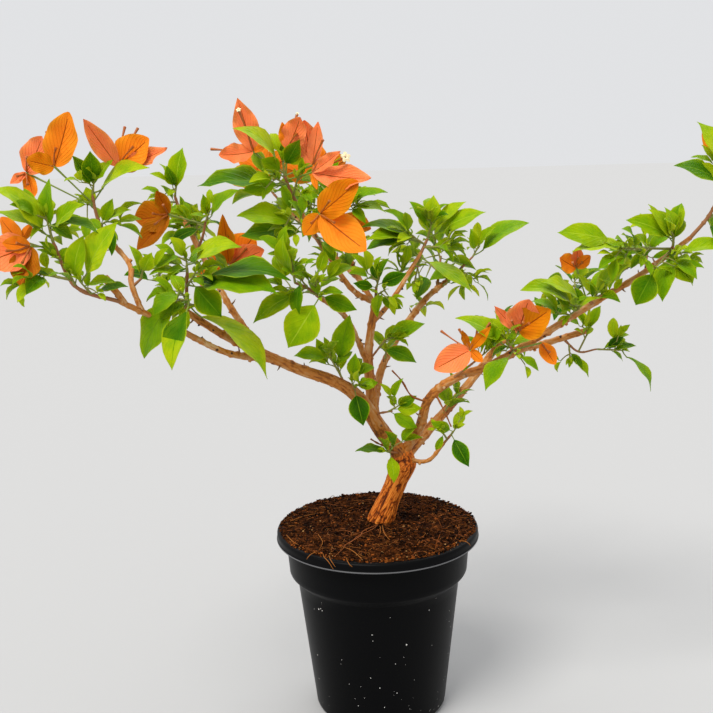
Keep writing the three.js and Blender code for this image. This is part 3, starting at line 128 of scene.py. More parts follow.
MASSES = {
    "left_end": mass("bough_left_lower", 1, 11, 1.5, 84, [[-207, -110, 379], [-219, -113, 410]], [
        spray(1, [-222, -115, 428], 3, 24, [-30, 210], [[131, 48, 0.6], [152, 38, 0.45], [86, 37, 0.65],
              [32, 34, 0.6], [18, 23, 0.8], [-10, 38, 0.4]], "young light mid light mid dark"),
        spray(0.3, [-202, -114, 382], 0, 30, [0, 90], [[9, 28, 0.45], [52, 53, 0.85]], "dark young"),
        spray(0.5, [-208, -117, 388], 1, 20, [100, 150], [[71, 37]], "light"),
        spray(0.6, [-236, -118, 391], 1, 18, [150, 230], [[162, 26, 0.5]], "light"),
        spray(0.82, [-216, -116, 399], 0, 18, [20, 160], [[56, 10, 0.9], [154, 15, 0.6]], "mid mid"),
    ], [
        flower(0.95, [-233, -118, 408], [[-162, 30, 1.15], [169, 17, 0.9], [-103, 26]], "coral orange dry"),
        flower(0.9, [-243, -106, 411], [[132, 22, 0.8], [57, 14, 0.7]], "back back", back=True),
    ]),
    "left_upper": mass("bough_left_upright", 1, 23, 1.4, 86, [[-203, -56, 427], [-205, -54, 440]], [
        spray(1, [-203, -54, 450], 1, 20, [40, 180], [[20, 50, 0.42], [116, 28, 0.9], [87, 26, 1.2],
              [45, 24, 0.6]], "young dark dark light"),
        spray(0.6, [-212, -50, 436], 1, 18, [150, 250], [[108, 16, 1.35], [-169, 17, 0.8]], "young light"),
        spray(0.2, [-197, -52, 420], 1, 18, [-80, 60], [[61, 22], [23, 25, 0.5], [-55, 17, 0.4]],
              "mid light mid"),
    ], [
        flower(0.7, [-229, -62, 461], [[67, 41, 0.85], [163, 17, 1.05]], "orange back"),
        flower(0.8, [-185, -54, 460], [[118, 38, 0.5], [37, 32, 1.15], [17, 42, 0.42]],
               "coral orange coral"),
        flower(0.65, [-254, -48, 457], [[56, 31, 0.95], [-75, 20, 0.7], [-144, 13, 0.7]],
               "coral orange coral"),
    ]),
    "left_mid": mass("bough_left_upright", 0.3, 31, 1.2, 50, [[-168, -76, 380]], [
        spray(0.9, [-166, -78, 388], 1, 20, [-50, 200], [[105, 25, 0.6], [59, 19, 1.25], [161, 9, 0.7]],
              "young light mid"),
    ]),
    "left_rosette": mass("bough_left_upper", 0.86, 42, 1.6, 100, [[-139, -62, 362], [-137, -64, 382]], [
        spray(1, [-137, -65, 392], 3, 26, [10, 210], [[-177, 26, 0.42], [165, 23, 0.5], [155, 21, 0.6],
              [17, 46, 0.62]], "light light light young"),
        spray(0.75, [-130, -72, 382], 1, 30, [-30, 40], [[-5, 70, 0.58], [-50, 35, 1.35], [-3, 73, 0.4]],
              "mid edged dark"),
        spray(0.35, [-129, -64, 357], 1, 30, [170, 230], [[-45, 81, 0.45]], "young"),
        spray(0.5, [-138, -94, 372], 0, 30, [170, 230], [[-121, 52, 0.68]], "mid"),
        spray(0.4, [-131, -98, 366], 0, 30, [170, 230], [[-105, 50, 0.75]], "edged_young"),
    ]),
    "left_tip": mass("bough_left_upper", 1, 57, 1.3, 58, [[-160, -48, 370]], [
        spray(0.9, [-163, -38, 380], 4, 24, [20, 200]),
    ]),
    "left_back": mass("bough_left_back", 1, 61, 1.4, 104, [[-160, 32, 436]], [
        spray(0.9, [-158, 32, 444], 2, 22, [100, 230], [[78, 39, 0.85], [118, 26, 0.5]], "light light"),
        spray(0.5, [-172, 48, 430], 1, 26, [120, 250], [[129, 18, 0.6], [-145, 8, 0.6]], "mid dark"),
        spray(0.2, [-150, 64, 398], 3, 30, [-70, 190]),
    ], [
        flower(0.3, [-133, 40, 376], [[-26, 21, 0.9], [64, 18, 0.9], [-126, 22, 0.9]], back=True),
    ]),
    "left_inner": mass("bough_left_back", 0.68, 73, 1.3, 74, [[-134, 2, 404], [-131, 0, 415]], [
        spray(1, [-128, -2, 421], 1, 20, [60, 150], [[40, 37, 0.55], [93, 20, 0.9], [-44, 24, 0.25]],
              "mid mid deep"),
        spray(0.8, [-146, 20, 417], 1, 18, [150, 230], [[-153, 30, 0.7], [148, 26, 0.6]], "deep mid"),
    ], [
        flower(0.9, [-159, -6, 422], [[-175, 25, 1.3], [109, 20, 0.8], [-130, 34, 0.55]], "dry dry dry"),
        flower(0.4, [-114, -2, 381], [[46, 31, 1.3], [21, 32, 0.9], [90, 41, 0.42]], "orange coral back"),
    ]),
    "top_left": mass("bough_top_front", 1, 83, 1.5, 92, [[-60, -38, 438], [-64, -42, 450]], [
        spray(1, [-65, -43, 461], 2, 24, [20, 190], [[138, 51, 0.45], [150, 19, 1.4], [57, 25, 1.1],
              [41, 20, 1.5]], "young mid dark light"),
        spray(0.7, [-70, -50, 448], 1, 28, [150, 240], [[180, 66, 0.5], [-170, 31], [-71, 22, 0.8]],
              "dark mid mid"),
        spray(0.4, [-54, -48, 448], 1, 28, [-70, 30], [[-49, 13, 0.8]], "dark"),
    ], [
        flower(0.9, [-86, -46, 468], [[104, 40, 0.66], [-176, 25, 0.8], [24, 10, 0.8]],
               "coral coral orange"),
        flower(1, [-43, -48, 457], [[98, 33, 0.75], [80, 32, 0.45]], "coral coral"),
        flower(0.85, [-43, -60, 452], [[-6, 43, 0.54], [34, 26, 0.5], [-74, 13, 0.5]],
               "coral coral orange"),
        flower(0.9, [-61, -48, 469], [[64, 25], [98, 20, 0.6]], "coral orange"),
    ]),
    "top_front": mass("bough_top_front", 0.72, 97, 1.3, 84, [[-44, -36, 408]], [
        spray(0.9, [-60, -54, 420], 1, 26, [130, 260], [[-177, 55, 0.75], [172, 49, 0.7]], "dark light"),
        spray(0.6, [-34, -48, 402], 2, 24, [-60, 30], [[-58, 23, 0.8]], "dark"),
    ], [
        flower(1, [-38, -64, 422], [[39, 37, 0.75], [-38, 42, 0.72], [-129, 19]], "back orange back"),
    ]),
    "top_back": mass("bough_top_back", 1, 101, 1.4, 84, [[-30, 60, 430]], [
        spray(0.95, [-32, 62, 440], 7, 32, [-10, 200]),
        spray(0.4, [-10, 62, 424], 2, 28, [-60, 60], [[20, 45, 0.4], [-6, 35, 0.45]], "mid light"),
        spray(0.5, [-52, 78, 424], 4, 34, [120, 250]),
    ], [
        flower(0.8, [-46, 88, 446], [[30, 32], [90, 34], [160, 32]], back=True),
        flower(0.3, [-26, 90, 410], [[200, 30], [270, 30], [340, 30]], back=True),
    ]),
    "back": mass("bough_back", 1, 113, 1.4, 84, [[-86, 112, 434]], [
        spray(1, [-90, 116, 442], 7, 34, [-20, 220]),
        spray(0.4, [-82, 126, 422], 4, 36, [-150, 0]),
    ], [
        flower(0.8, [-98, 130, 450], [[30, 34], [110, 36], [190, 32]], back=True),
    ]),
    "centre_front": mass("bough_centre_front", 1, 127, 1.4, 84, [[-48, -54, 366], [-58, -62, 372]], [
        spray(1, [-60, -66, 390], 1, 20, [60, 150], [[99, 36, 0.6], [156, 10, 0.85], [9, 17, 0.55]],
              "light light light"),
        spray(0.6, [-60, -66, 366], 1, 22, [150, 200], [[-148, 46, 0.7]], "light"),
        spray(0.3, [-40, -62, 361], 0, 22, [150, 200], [[-124, 44, 1.35]], "light"),
        spray(0.1, [-43, -58, 371], 2, 26, [20, 120], [[-23, 32]], "edged"),
        spray(0.55, [-54, -62, 375], 0, 24, [40, 120], [[-93, 28, 0.8]], "dark"),
    ]),
    "bough_left": mass("bough_left", 0.5, 131, 1, 66, [[-29, -28, 298]], [
        spray(0.6, [-29, -32, 302], 0, 30, [40, 200], [[75, 42, 0.98]], "mid"),
        spray(0.8, [-34, -44, 311], 0, 30, [40, 200], [[171, 28, 0.8]], "mid"),
    ]),
    "bough_low": mass("bough_left", 0.42, 139, 1, 52, [[-17, -28, 285]], [
        spray(0.5, [-18, -32, 289], 0, 22, [0, 90], [[283, 28, 1.3], [5, 20], [82, 24]]),
    ]),
    "centre_right": mass("bough_centre", 0.58, 149, 1, 64, [[10, 2, 316]], [
        spray(0.6, [12, -2, 318], 1, 18, [-60, 60], [[-22, 32, 0.85], [23, 37, 0.85]], "dark mid"),
    ]),
    "centre_top": mass("bough_centre", 1, 151, 1.3, 58, [[4, 18, 358]], [
        spray(0.8, [6, 12, 366], 3, 24, [60, 200], [[165, 20], [22, 26]]),
        spray(0.3, [10, 6, 356], 2, 24, [-110, 0], [[-30, 24]]),
    ]),
    "right_crown": mass("bough_centre_side", 1, 163, 1.5, 82, [[50, 66, 392]], [
        spray(1, [54, 64, 407], 2, 30, [40, 150], [[24, 52, 0.6], [40, 42, 0.6], [124, 31, 0.8],
              [84, 28, 1.2]], "light young mid young"),
        spray(0.6, [36, 58, 396], 1, 34, [150, 230], [[157, 50, 0.5], [165, 54, 0.4], [170, 42, 0.6],
              [178, 45, 0.5], [-169, 44, 0.5], [138, 35, 0.5]], "young mid mid light dark mid"),
        spray(0.4, [64, 56, 386], 1, 28, [-60, 30], [[-5, 35, 0.7], [-48, 8, 0.9]], "light young"),
        spray(0.05, [38, 66, 354], 1, 22, [180, 260], [[-36, 54, 0.5]], "light"),
    ]),
    "right_crown_end": mass("bough_centre_right", 1, 181, 1.3, 78, [[96, 124, 370]], [
        spray(1, [102, 126, 380], 2, 24, [30, 150], [[30, 58, 0.58], [103, 24, 0.9], [53, 28, 0.5]],
              "mid light light"),
        spray(0.3, [84, 96, 358], 1, 26, [-90, -30], [[-163, 32, 0.8]], "mid"),
    ]),
    "right_crown_back": mass("bough_centre_right", 0.82, 173, 1.4, 78, [[66, 118, 372]], [
        spray(0.9, [62, 122, 384], 7, 34, [-10, 200]),
        spray(0.5, [48, 132, 372], 4, 34, [120, 250]),
    ]),
    "trunk": mass("trunk", 0.93, 191, 1, 44, [[12, -16, 226]], [
        spray(0.7, [9, -19, 228], 1, 16, [60, 120], [[176, 28], [275, 24, 1.2]], "dark light"),
    ]),
    "fork": mass("bough_left", 0.3, 193, 1, 44, [[14, -14, 260]], [
        spray(0.8, [19, -17, 265], 1, 16, [90, 180], [[-32, 26], [4, 24], [30, 20]], "mid light dark"),
    ]),
    "fork_right": mass("twig_fork", 1, 197, 1.1, 50, [[62, -20, 242]], [
        spray(0.8, [64, -23, 246], 1, 14, [0, 80], [[-62, 28], [150, 22]]),
        spray(0.4, [54, -26, 244], 2, 18, [110, 240]),
    ]),
    "right_low": mass("bough_right", 0.55, 199, 1.1, 62, [[80, -40, 306]], [
        spray(0.7, [88, -44, 314], 1, 16, [60, 120], [[-137, 8, 0.6]], "mid"),
    ], [
        flower(1, [73, -48, 315], [[-154, 31, 1.05], [111, 17, 0.5], [52, 25, 0.45], [-43, 13, 0.9]],
               "coral dry back orange"),
    ]),
    "right_mid": mass("bough_right", 0.93, 211, 1.2, 70, [[104, -50, 318]], [
        spray(0.5, [100, -50, 324], 2, 20, [60, 200], [[151, 49, 0.6], [12, 21, 0.7]], "light light"),
        spray(0.3, [108, -54, 312], 0, 16, [-80, -30], [[-130, 36, 0.8], [-39, 21, 0.7]], "mid mid"),
    ], [
        flower(1, [109, -56, 330], [[80, 27, 1.15], [43, 28, 1.1], [133, 29, 0.4]], "coral back coral"),
        flower(0.4, [127, -52, 320], [[-59, 18, 0.85]], "orange"),
    ]),
    "right_under": mass("bough_right_stub", 0.7, 223, 1, 92, [[164, -14, 305], [178, -16, 307]], [
        spray(1, [198, -18, 306], 0, 18, [-20, 60], [[10, 24, 0.6], [11, 19, 0.6], [-57, 39, 0.3]],
              "mid dark mid"),
        spray(0.2, [156, -20, 302], 1, 14, [240, 300]),
        spray(0.5, [172, -16, 323], 0, 16, [60, 120], [[64, 21, 0.9]], "mid"),
    ]),
    "right_behind": mass("bough_right_behind", 1, 227, 1.3, 66, [[117, 82, 306]], [
        spray(0.9, [114, 76, 312], 4, 26, [-10, 190]),
        spray(0.4, [120, 94, 302], 4, 28, [-150, 30]),
    ], [
        flower(0.9, [137, 92, 312], [[45, 19], [80, 20], [135, 18]], back=True),
    ]),
    "right_back": mass("bough_right_back", 1, 229, 1.3, 80, [[180, 72, 344]], [
        spray(1, [180, 76, 352], 6, 30, [-20, 200]),
        spray(0.4, [184, 88, 340], 4, 30, [-130, 20]),
    ]),
    "right_shoot": mass("bough_right_upper", 0.4, 233, 1.3, 74, [[162, -46, 352]], [
        spray(0.7, [148, -50, 340], 1, 22, [90, 200], [[154, 43, 0.42], [162, 52, 0.5], [27, 23, 0.35]],
              "young light young"),
        spray(0.6, [172, -52, 356], 2, 22, [0, 100], [[47, 38, 0.6], [126, 24, 0.5]], "light young"),
    ], [
        flower(1, [154, -46, 376], [[149, 17, 1.1], [47, 13, 0.9], [88, 16, 0.9]], "orange orange coral"),
    ]),
    "right_cluster": mass("bough_right_upper", 0.85, 239, 1.5, 92, [[226, -48, 391]], [
        spray(1, [225, -52, 400], 3, 28, [60, 170], [[85, 30, 0.75], [131, 34, 0.6], [113, 28, 0.75],
              [158, 42, 0.8]], "mid young young light"),
        spray(0.6, [184, -60, 391], 1, 32, [140, 215], [[170, 85, 0.62], [-180, 61, 0.35], [174, 21, 0.55]],
              "light young light"),
        spray(0.4, [209, -62, 376], 0, 30, [-60, 10], [[-115, 31, 1.5]], "dark"),
        spray(0.5, [223, -62, 387], 0, 30, [-60, 10], [[-105, 39, 0.9], [-61, 27, 1.35], [5, 40, 0.6]],
              "mid light light"),
    ]),
    "right_cluster_back": mass("bough_right_upper", 0.7, 241, 1.4, 84, [[214, -20, 376], [222, 4, 378]], [
        spray(1, [224, 12, 384], 7, 32, [-30, 200]),
        spray(0.6, [208, 10, 370], 3, 32, [110, 250]),
    ]),
    "right_tip": mass("bough_right_upper", 1, 251, 1.5, 92, [[252, -47, 412], [262, -50, 434]], [
        spray(1, [266, -50, 448], 3, 30, [-20, 120], [[161, 44, 0.55], [158, 30, 0.85], [122, 48, 0.6]],
              "dark young young"),
        spray(0.4, [272, -40, 424], 4, 34, [-80, 70]),
    ], [
        flower(0.9, [276, -34, 456], [[30, 34], [85, 36], [140, 30]], back=True),
    ]),
}


# Numbers and curves
def seeded(seed):
    """A seeded draw of numbers from 0 to 1, the same as in the part's source."""
    state = [seed * 2654435761 & 0xFFFFFFFF]

    def draw():
        state[0] = (state[0] * 1664525 + 1013904223) & 0xFFFFFFFF
        return state[0] / 4294967296

    return draw


def mix(a, b, share):
    return a + (b - a) * share


def clamp01(v):
    return min(1.0, max(0.0, v))


def pick(number, **limits):
    """The first name with a limit above a drawn number."""
    return next(name for name, limit in limits.items() if number < limit)


def vec(*p):
    return np.array(p, float)


def unit(v):
    return v / np.linalg.norm(v)


def clock_direction(clock, lean):
    """A unit vector from a clock angle in degrees, seen from the front, and a lean to the back."""
    a = math.radians(clock)
    return vec(math.cos(a) * math.cos(lean), math.sin(lean), math.sin(a) * math.cos(lean))


def around(along, hint, turn):
    """A direction square to along, turned round it from the side that hint gives."""
    side = unit(np.cross(along, hint))
    return math.cos(turn) * side + math.sin(turn) * np.cross(along, side)


def ring_turns(sides):
    return 2 * np.pi * np.arange(sides) / sides


class Curve:
    """A Catmull-Rom curve through points, its length shared evenly among them."""

    def __init__(self, *points):
        self.points = [np.array(p, float) for p in points]

    def at(self, share):
        p = self.points
        last = len(p) - 1
        place = clamp01(share) * last
        i = min(int(place), last - 1)
        w = place - i
        before = p[i - 1] if i else 2 * p[0] - p[1]
        after = p[i + 2] if i + 2 <= last else 2 * p[last] - p[last - 1]
        t0, t1 = (p[i + 1] - before) / 2, (after - p[i]) / 2
        a = -3 * p[i] + 3 * p[i + 1] - 2 * t0 - t1
        b = 2 * p[i] - 2 * p[i + 1] + t0 + t1
        return p[i] + t0 * w + a * w * w + b * w**3

    def along(self, share):
        return unit(self.at(min(1, share + 1e-4)) - self.at(max(0, share - 1e-4)))

    def length(self):
        places = np.array([self.at(i / 40) for i in range(41)])
        return float(np.linalg.norm(np.diff(places, axis=0), axis=1).sum())


def run_through(*radii):
    """A radius that runs evenly through a list of radii."""

    def radius(share):
        place = clamp01(share) * (len(radii) - 1)
        i = min(len(radii) - 2, int(place))
        return mix(radii[i], radii[i + 1], place - i)

    return radius


def lattice(x, y, z, salt):
    h = (x * 374761393 + y * 668265263 + z * 974634777 + salt * 1274126177) & 0xFFFFFFFF
    h = ((h ^ (h >> 13)) * 1274126177) & 0xFFFFFFFF
    return ((h ^ (h >> 16)) & 0xFFFF) / 65535


def noise(p, salt=0):
    """Smooth noise from -1 to 1 at an array of points."""
    base = np.floor(p).astype(np.int64)
    f = p - base
    f = f * f * (3 - 2 * f)
    total = np.zeros(len(p))
    for dx in (0, 1):
        for dy in (0, 1):
            for dz in (0, 1):
                w = (f[:, 0] if dx else 1 - f[:, 0]) * (f[:, 1] if dy else 1 - f[:, 1])
                w = w * (f[:, 2] if dz else 1 - f[:, 2])
                total += w * lattice(base[:, 0] + dx, base[:, 1] + dy, base[:, 2] + dz, salt)
    return total * 2 - 1


def fractal(p, octaves, salt):
    return sum(noise(p * 2.03**i, salt + i) / 2**i for i in range(octaves))


# Meshes
def new_object(name, data):
    made = bpy.data.objects.new(name, data)
    bpy.context.scene.collection.objects.link(made)
    return made


class Soup:
    """Vertices and faces that are gathered and then made into one piece."""

    def __init__(self, *looks):
        self.looks = list(looks)
        self.places, self.uvs, self.tones, self.faces, self.kinds = [], [], [], [], []
        self.count = 0

    def add(self, places, faces, look, uvs=None, tones=0.0):
        """faces is an array of indices into places; look is a material, or one for each face."""
        places = np.asarray(places, float).reshape(-1, 3)
        self.places.append(places)
        self.uvs.append(np.zeros((len(places), 2)) if uvs is None else uvs)
        self.tones.append(np.broadcast_to(tones, len(places)))
        self.faces.append(np.asarray(faces, int) + self.count)
        kinds = [look] * len(faces) if isinstance(look, str) else look
        self.kinds.append(np.array([self.looks.index(k) for k in kinds], int))
        self.count += len(places)

    def make(self, name, slot, replaced=()):
        faces = [row for block in self.faces for row in block.tolist()]
        mesh = bpy.data.meshes.new(name)
        mesh.from_pydata((np.concatenate(self.places) * MM).tolist(), [], faces)
        for look in self.looks:
            mesh.materials.append(MATERIALS[look])
        mesh.polygons.foreach_set("material_index", np.concatenate(self.kinds))
        mesh.polygons.foreach_set("use_smooth", np.ones(len(faces), bool))
        corner = np.zeros(len(mesh.loops), int)
        mesh.loops.foreach_get("vertex_index", corner)
        uv = mesh.uv_layers.new(name="UVMap")
        uv.data.foreach_set("uv", np.concatenate(self.uvs)[corner].astype(np.float32).ravel())
        tone = mesh.attributes.new("tone", "FLOAT", "POINT")
        tone.data.foreach_set("value", np.concatenate(self.tones).astype(np.float32))
        mesh.update()
        piece = new_object(name, mesh)
        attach(piece, BODY)
        if replaced:
            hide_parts(*replaced)
        return piece


def grid_faces(rows, columns, closed=False):
    """Quads of a grid of vertices listed row by row; closed joins the last column to the first."""
    r, c = np.meshgrid(np.arange(rows - 1), np.arange(columns if closed else columns - 1), indexing="ij")
    a = (r * columns + c).ravel()
    b = (r * columns + (c + 1) % columns).ravel()
    return np.stack([a, b, b + columns, a + columns], axis=1)


def fan_faces(sides, first, centre):
    """Triangles from a centre to a ring of vertices that starts at first."""
    k = np.arange(sides)
    return np.stack([np.full(sides, centre), first + k, first + (k + 1) % sides], axis=1)


def tube_rings(curve, radius_at, sides, shares):
    """Rings of vertices round a curve."""
    turns = ring_turns(sides)[:, None]
    across = vec(0.31, -0.82, 0.48)
    rings = []
    for share in shares:
        along = curve.along(share)
        across = unit(across - along * (across @ along))
        round_it = np.cos(turns) * across + np.sin(turns) * np.cross(along, across)
        rings.append(curve.at(share) + radius_at(share) * round_it)
    return np.array(rings)


def add_tube(soup, curve, radius_at, sides, rings, look, tone=0.0, cap=True, cap_look=None):
    """A tube along a curve; its last ring closes on a point that bulges a little."""
    shares = np.linspace(0, 1, rings)
    places = tube_rings(curve, radius_at, sides, shares).reshape(-1, 3)
    around_it = np.tile(np.arange(sides) / sides, rings)
    uvs = np.stack([around_it, np.repeat(shares * curve.length(), sides)], axis=1)
    soup.add(places, grid_faces(rings, sides, True), look, uvs, tone)
    if cap:
        end = curve.at(1) + curve.along(1) * radius_at(1) * (0.08 if cap_look else 0.5)
        ring = places[-sides:]
        soup.add(np.vstack([ring, end]), fan_faces(sides, 0, sides), cap_look or look, None, tone)


# Leaves and bracts
def outline(share, widest, full, foot):
    """Half the width of a blade at a share of its length, as a share of its greatest half width."""
    rise = np.sin(np.pi / 2 * np.clip(share / widest, 0, 1)) ** foot
    fall = np.cos(np.pi / 2 * np.clip((share - widest) / (1 - widest), 0, 1)) ** full
    return np.where(share < widest, rise, fall)


def make_blade(foot, along, up, **sizes):
    side = unit(np.cross(along, up))
    return {
        "foot": foot, "along": along, "side": side, "face": unit(np.cross(side, along)), "full": 1.25,
        "foot_full": 0.75, **sizes,
    }


def blade_points(blade, share, across):
    """Points of a blade at shares of its length and across from -1 to 1, and the way it faces there."""
    curl, fold = blade["curl"], blade["fold"]
    bend = curl * (share - 0.5)
    chord = blade["length"] / (2 * math.sin(curl / 2))
    forward = chord * (np.sin(bend) + math.sin(curl / 2))
    rise = chord * (np.cos(bend) - math.cos(curl / 2))
    shape = outline(share, blade["widest"], blade["full"], blade["foot_full"])
    half = blade["width"] / 2 * shape * across
    facing = blade["face"] * np.cos(bend)[..., None] + blade["along"] * np.sin(bend)[..., None]
    point = blade["foot"] + blade["along"] * forward[..., None] + blade["face"] * rise[..., None]
    point = point + blade["side"] * (half * math.cos(fold))[..., None]
    return point + facing * (np.abs(half) * math.sin(fold))[..., None], facing


ON_RIB = [(share, 0) for share in (0.05, 0.25, 0.5, 0.75, 1)]
NEAR_MARGIN = [(share, side) for share in (0.2, 0.42, 0.66, 0.84) for side in (-0.85, 0.85)]
SAMPLES = np.array(ON_RIB + NEAR_MARGIN).T


def blade_samples(blade):
    return blade_points(blade, *SAMPLES)[0]


def new_leaf(start, blade, rank, twig=None, named=False, look=None):
    return {"start": start, "blade": blade, "rank": rank, "twig": twig, "named": named, "look": look}


def spray_leaves(curve, spray, draw):
    """The leaves of one spray: the named ones from its foot up, then those that fill its fan."""
    phase = draw() * 2 * math.pi
    facing = mix(-0.6, 0.5, clamp01((spray["tip"][1] - 40) / 70))
    named_count, fill, looks = len(spray["named"]), spray["fill"], spray["looks"]
    total = named_count + fill
    leaves = []
    for i in range(total):
        dice = [draw() for _ in range(6)]
        named = spray["named"][i] if i < named_count else None
        rank = i / (total - 1) if total > 1 else 1
        place = i - named_count
        if named:
            lean = mix(-0.45, 0.1, dice[2])
            turn, length = named[0], named[1] / math.cos(lean)
            broad = named[2] if len(named) > 2 else 1
        else:
            spread = 1 - place / (fill - 1) if fill > 1 else 0
            turn = mix(*spray["fan"], 0.5 + (1 if place % 2 else -1) * spread / 2) + mix(-14, 14, dice[0])
            length = spray["length"] * mix(1.1, 0.75, rank) * mix(0.88, 1.12, dice[1])
            lean = LEAF["lean"] * math.sin(GOLDEN * place + phase)
            broad = mix(0.88, 1.14, dice[3])
        along = clock_direction(turn, lean)
        root = curve.at(mix(0.12, 1, rank))
        has_twig = place >= 0 and place % SIDE_TWIG["every"] == 1
        start = root + along * length * SIDE_TWIG["share"] if has_twig else root
        stalk = length * LEAF["petiole"]
        blade = make_blade(
            start + along * stalk, along, vec(mix(-0.35, 0.35, dice[5]), facing + 0.5 * lean, 0.85),
            length=length - stalk, width=(length - stalk) * LEAF["width_share"] * broad,
            curl=mix(0.3, 0.9, dice[4]), fold=LEAF["fold"], widest=LEAF["widest"],
        )
        twig = Curve(root, start) if has_twig else None
        look = looks[i] if i < len(looks) else None
        leaves.append(new_leaf(start, blade, rank, twig, named is not None, look))
    return leaves


def flower_bracts(flower, draw):
    """The bracts of one flower, open to the front or the back."""
    side = 1 if flower["back"] else -1
    bracts = []
    for row, look in zip(flower["bracts"], flower["looks"] or [None] * 9):
        dice = [draw() for _ in range(3)]
        lean = side * mix(0.05, 0.6, dice[0])
        reach = row[1] / math.cos(lean)
        broad = row[2] if len(row) > 2 else 1
        bracts.append(make_blade(
            vec(*flower["end"]), clock_direction(row[0], lean), vec(0, side, 0.35), length=reach,
            width=reach * BRACT["width_share"] * broad, curl=mix(-0.75, -0.25, dice[1]),
            fold=mix(0.2, 0.5, dice[2]), widest=BRACT["widest"], look=look,
        ))
    return bracts


# The limbs' curves, and points along them for the clearance rule
curves = {"trunk": Curve(*TRUNK["points"])}
radii_at = {"trunk": run_through(*TRUNK["radii"])}
for name, row in LIMBS.items():
    curves[name] = Curve(curves[row["from"]].at(row["at"]), *row["points"])
    radii_at[name] = run_through(*row["radii"])
wood_rows = []
for name, curve in curves.items():
    count = len(curve.points) * 8
    wood_rows += [(*curve.at(i / count), radii_at[name](i / count)) for i in range(count + 1)]
WOOD = np.array(wood_rows)
taken = []  # points that leaves, bracts and twigs have taken


def distances(points, others):
    return np.linalg.norm(np.asarray(points)[:, None] - np.asarray(others)[None], axis=2)


def is_clear(samples, centre, reach, own, gap):
    """The source's clearance rule: off the wood and its own mass, and a gap from all that is taken."""
    if np.linalg.norm(samples - centre, axis=1).max() > reach:
        return False
    if samples[:, 2].min() < POT["height"] + CLEARANCE["above_pot"]:
        return False
    if (distances(samples, WOOD[:, :3]) < WOOD[:, 3] + CLEARANCE["wood"]).any():
        return False
    if own and distances(samples, own).min() < CLEARANCE["own"]:
        return False
    return not (taken and distances(samples, taken).min() < gap)


def take_room(blade, centre, reach):
    """Takes a finer leaf's room, where there is some."""
    samples = blade_samples(blade)
    if not is_clear(samples[1:], centre, reach, None, CLEARANCE["fine"]):
        return False
    taken.extend(samples)
    return True


# Growth: the source's rule, then finer twigs and leaves in what room it leaves
def grow_mass(mass):
    """One mass by the source's rule: its stem, sprays, leaves and flowers."""
    draw = seeded(mass["seed"])
    centre, reach = vec(*mass["stem"][-1]), mass["reach"]
    stem = Curve(curves[mass["on"]].at(mass["at"]), *mass["stem"])
    sprays = [Curve(stem.at(spray["at"]), spray["tip"]) for spray in mass["sprays"]]
    samples, leaves, late, flowers = [], [], [], []
    for curve, spray in zip(sprays, mass["sprays"]):
        for leaf in spray_leaves(curve, spray, draw):
            mine = blade_samples(leaf["blade"])
            own, gap = (None, "placed") if leaf["named"] else (samples, "other")
            if is_clear(mine, centre, reach, own, CLEARANCE[gap]):
                leaves.append(leaf)
                samples.extend(mine)
            else:
                late.append(leaf)
    for flower in mass["flowers"]:
        bracts = [
            blade for blade in flower_bracts(flower, draw)
            if is_clear(blade_samples(blade), centre, reach, None, CLEARANCE["placed"])
        ]
        if bracts:
            flowers.append({"stalk": Curve(stem.at(flower["at"]), flower["end"]), "bracts": bracts})
            samples.extend(point for blade in bracts for point in blade_samples(blade))
    for twig in (stem, *sprays, *(flower["stalk"] for flower in flowers)):
        taken.extend(twig.at(i / 8) for i in range(2, 9))
    taken.extend(samples)
    return {
        "mass": mass, "draw": draw, "centre": centre, "stem": stem, "sprays": sprays, "leaves": leaves,
        "late": late, "flowers": flowers, "fine_leaves": [], "fine_twigs": [],
    }


FINE = {
    "length": (11, 27), "step": 3.6, "stalk": 0.14, "twig": (6, 13), "bud_length": (6, 11), "bud_leaves": 4,
}


def small_leaf(start, along, length, draw, facing, narrow=1.0):
    stalk = length * FINE["stalk"]
    return make_blade(
        start + along * stalk, along, vec(mix(-0.4, 0.4, draw()), facing, 0.85),
        length=length - stalk, width=(length - stalk) * mix(0.46, 0.6, draw()) * narrow,
        curl=mix(0.3, 1.0, draw()), fold=mix(0.15, 0.5, draw()), widest=mix(0.36, 0.46, draw()),
    )


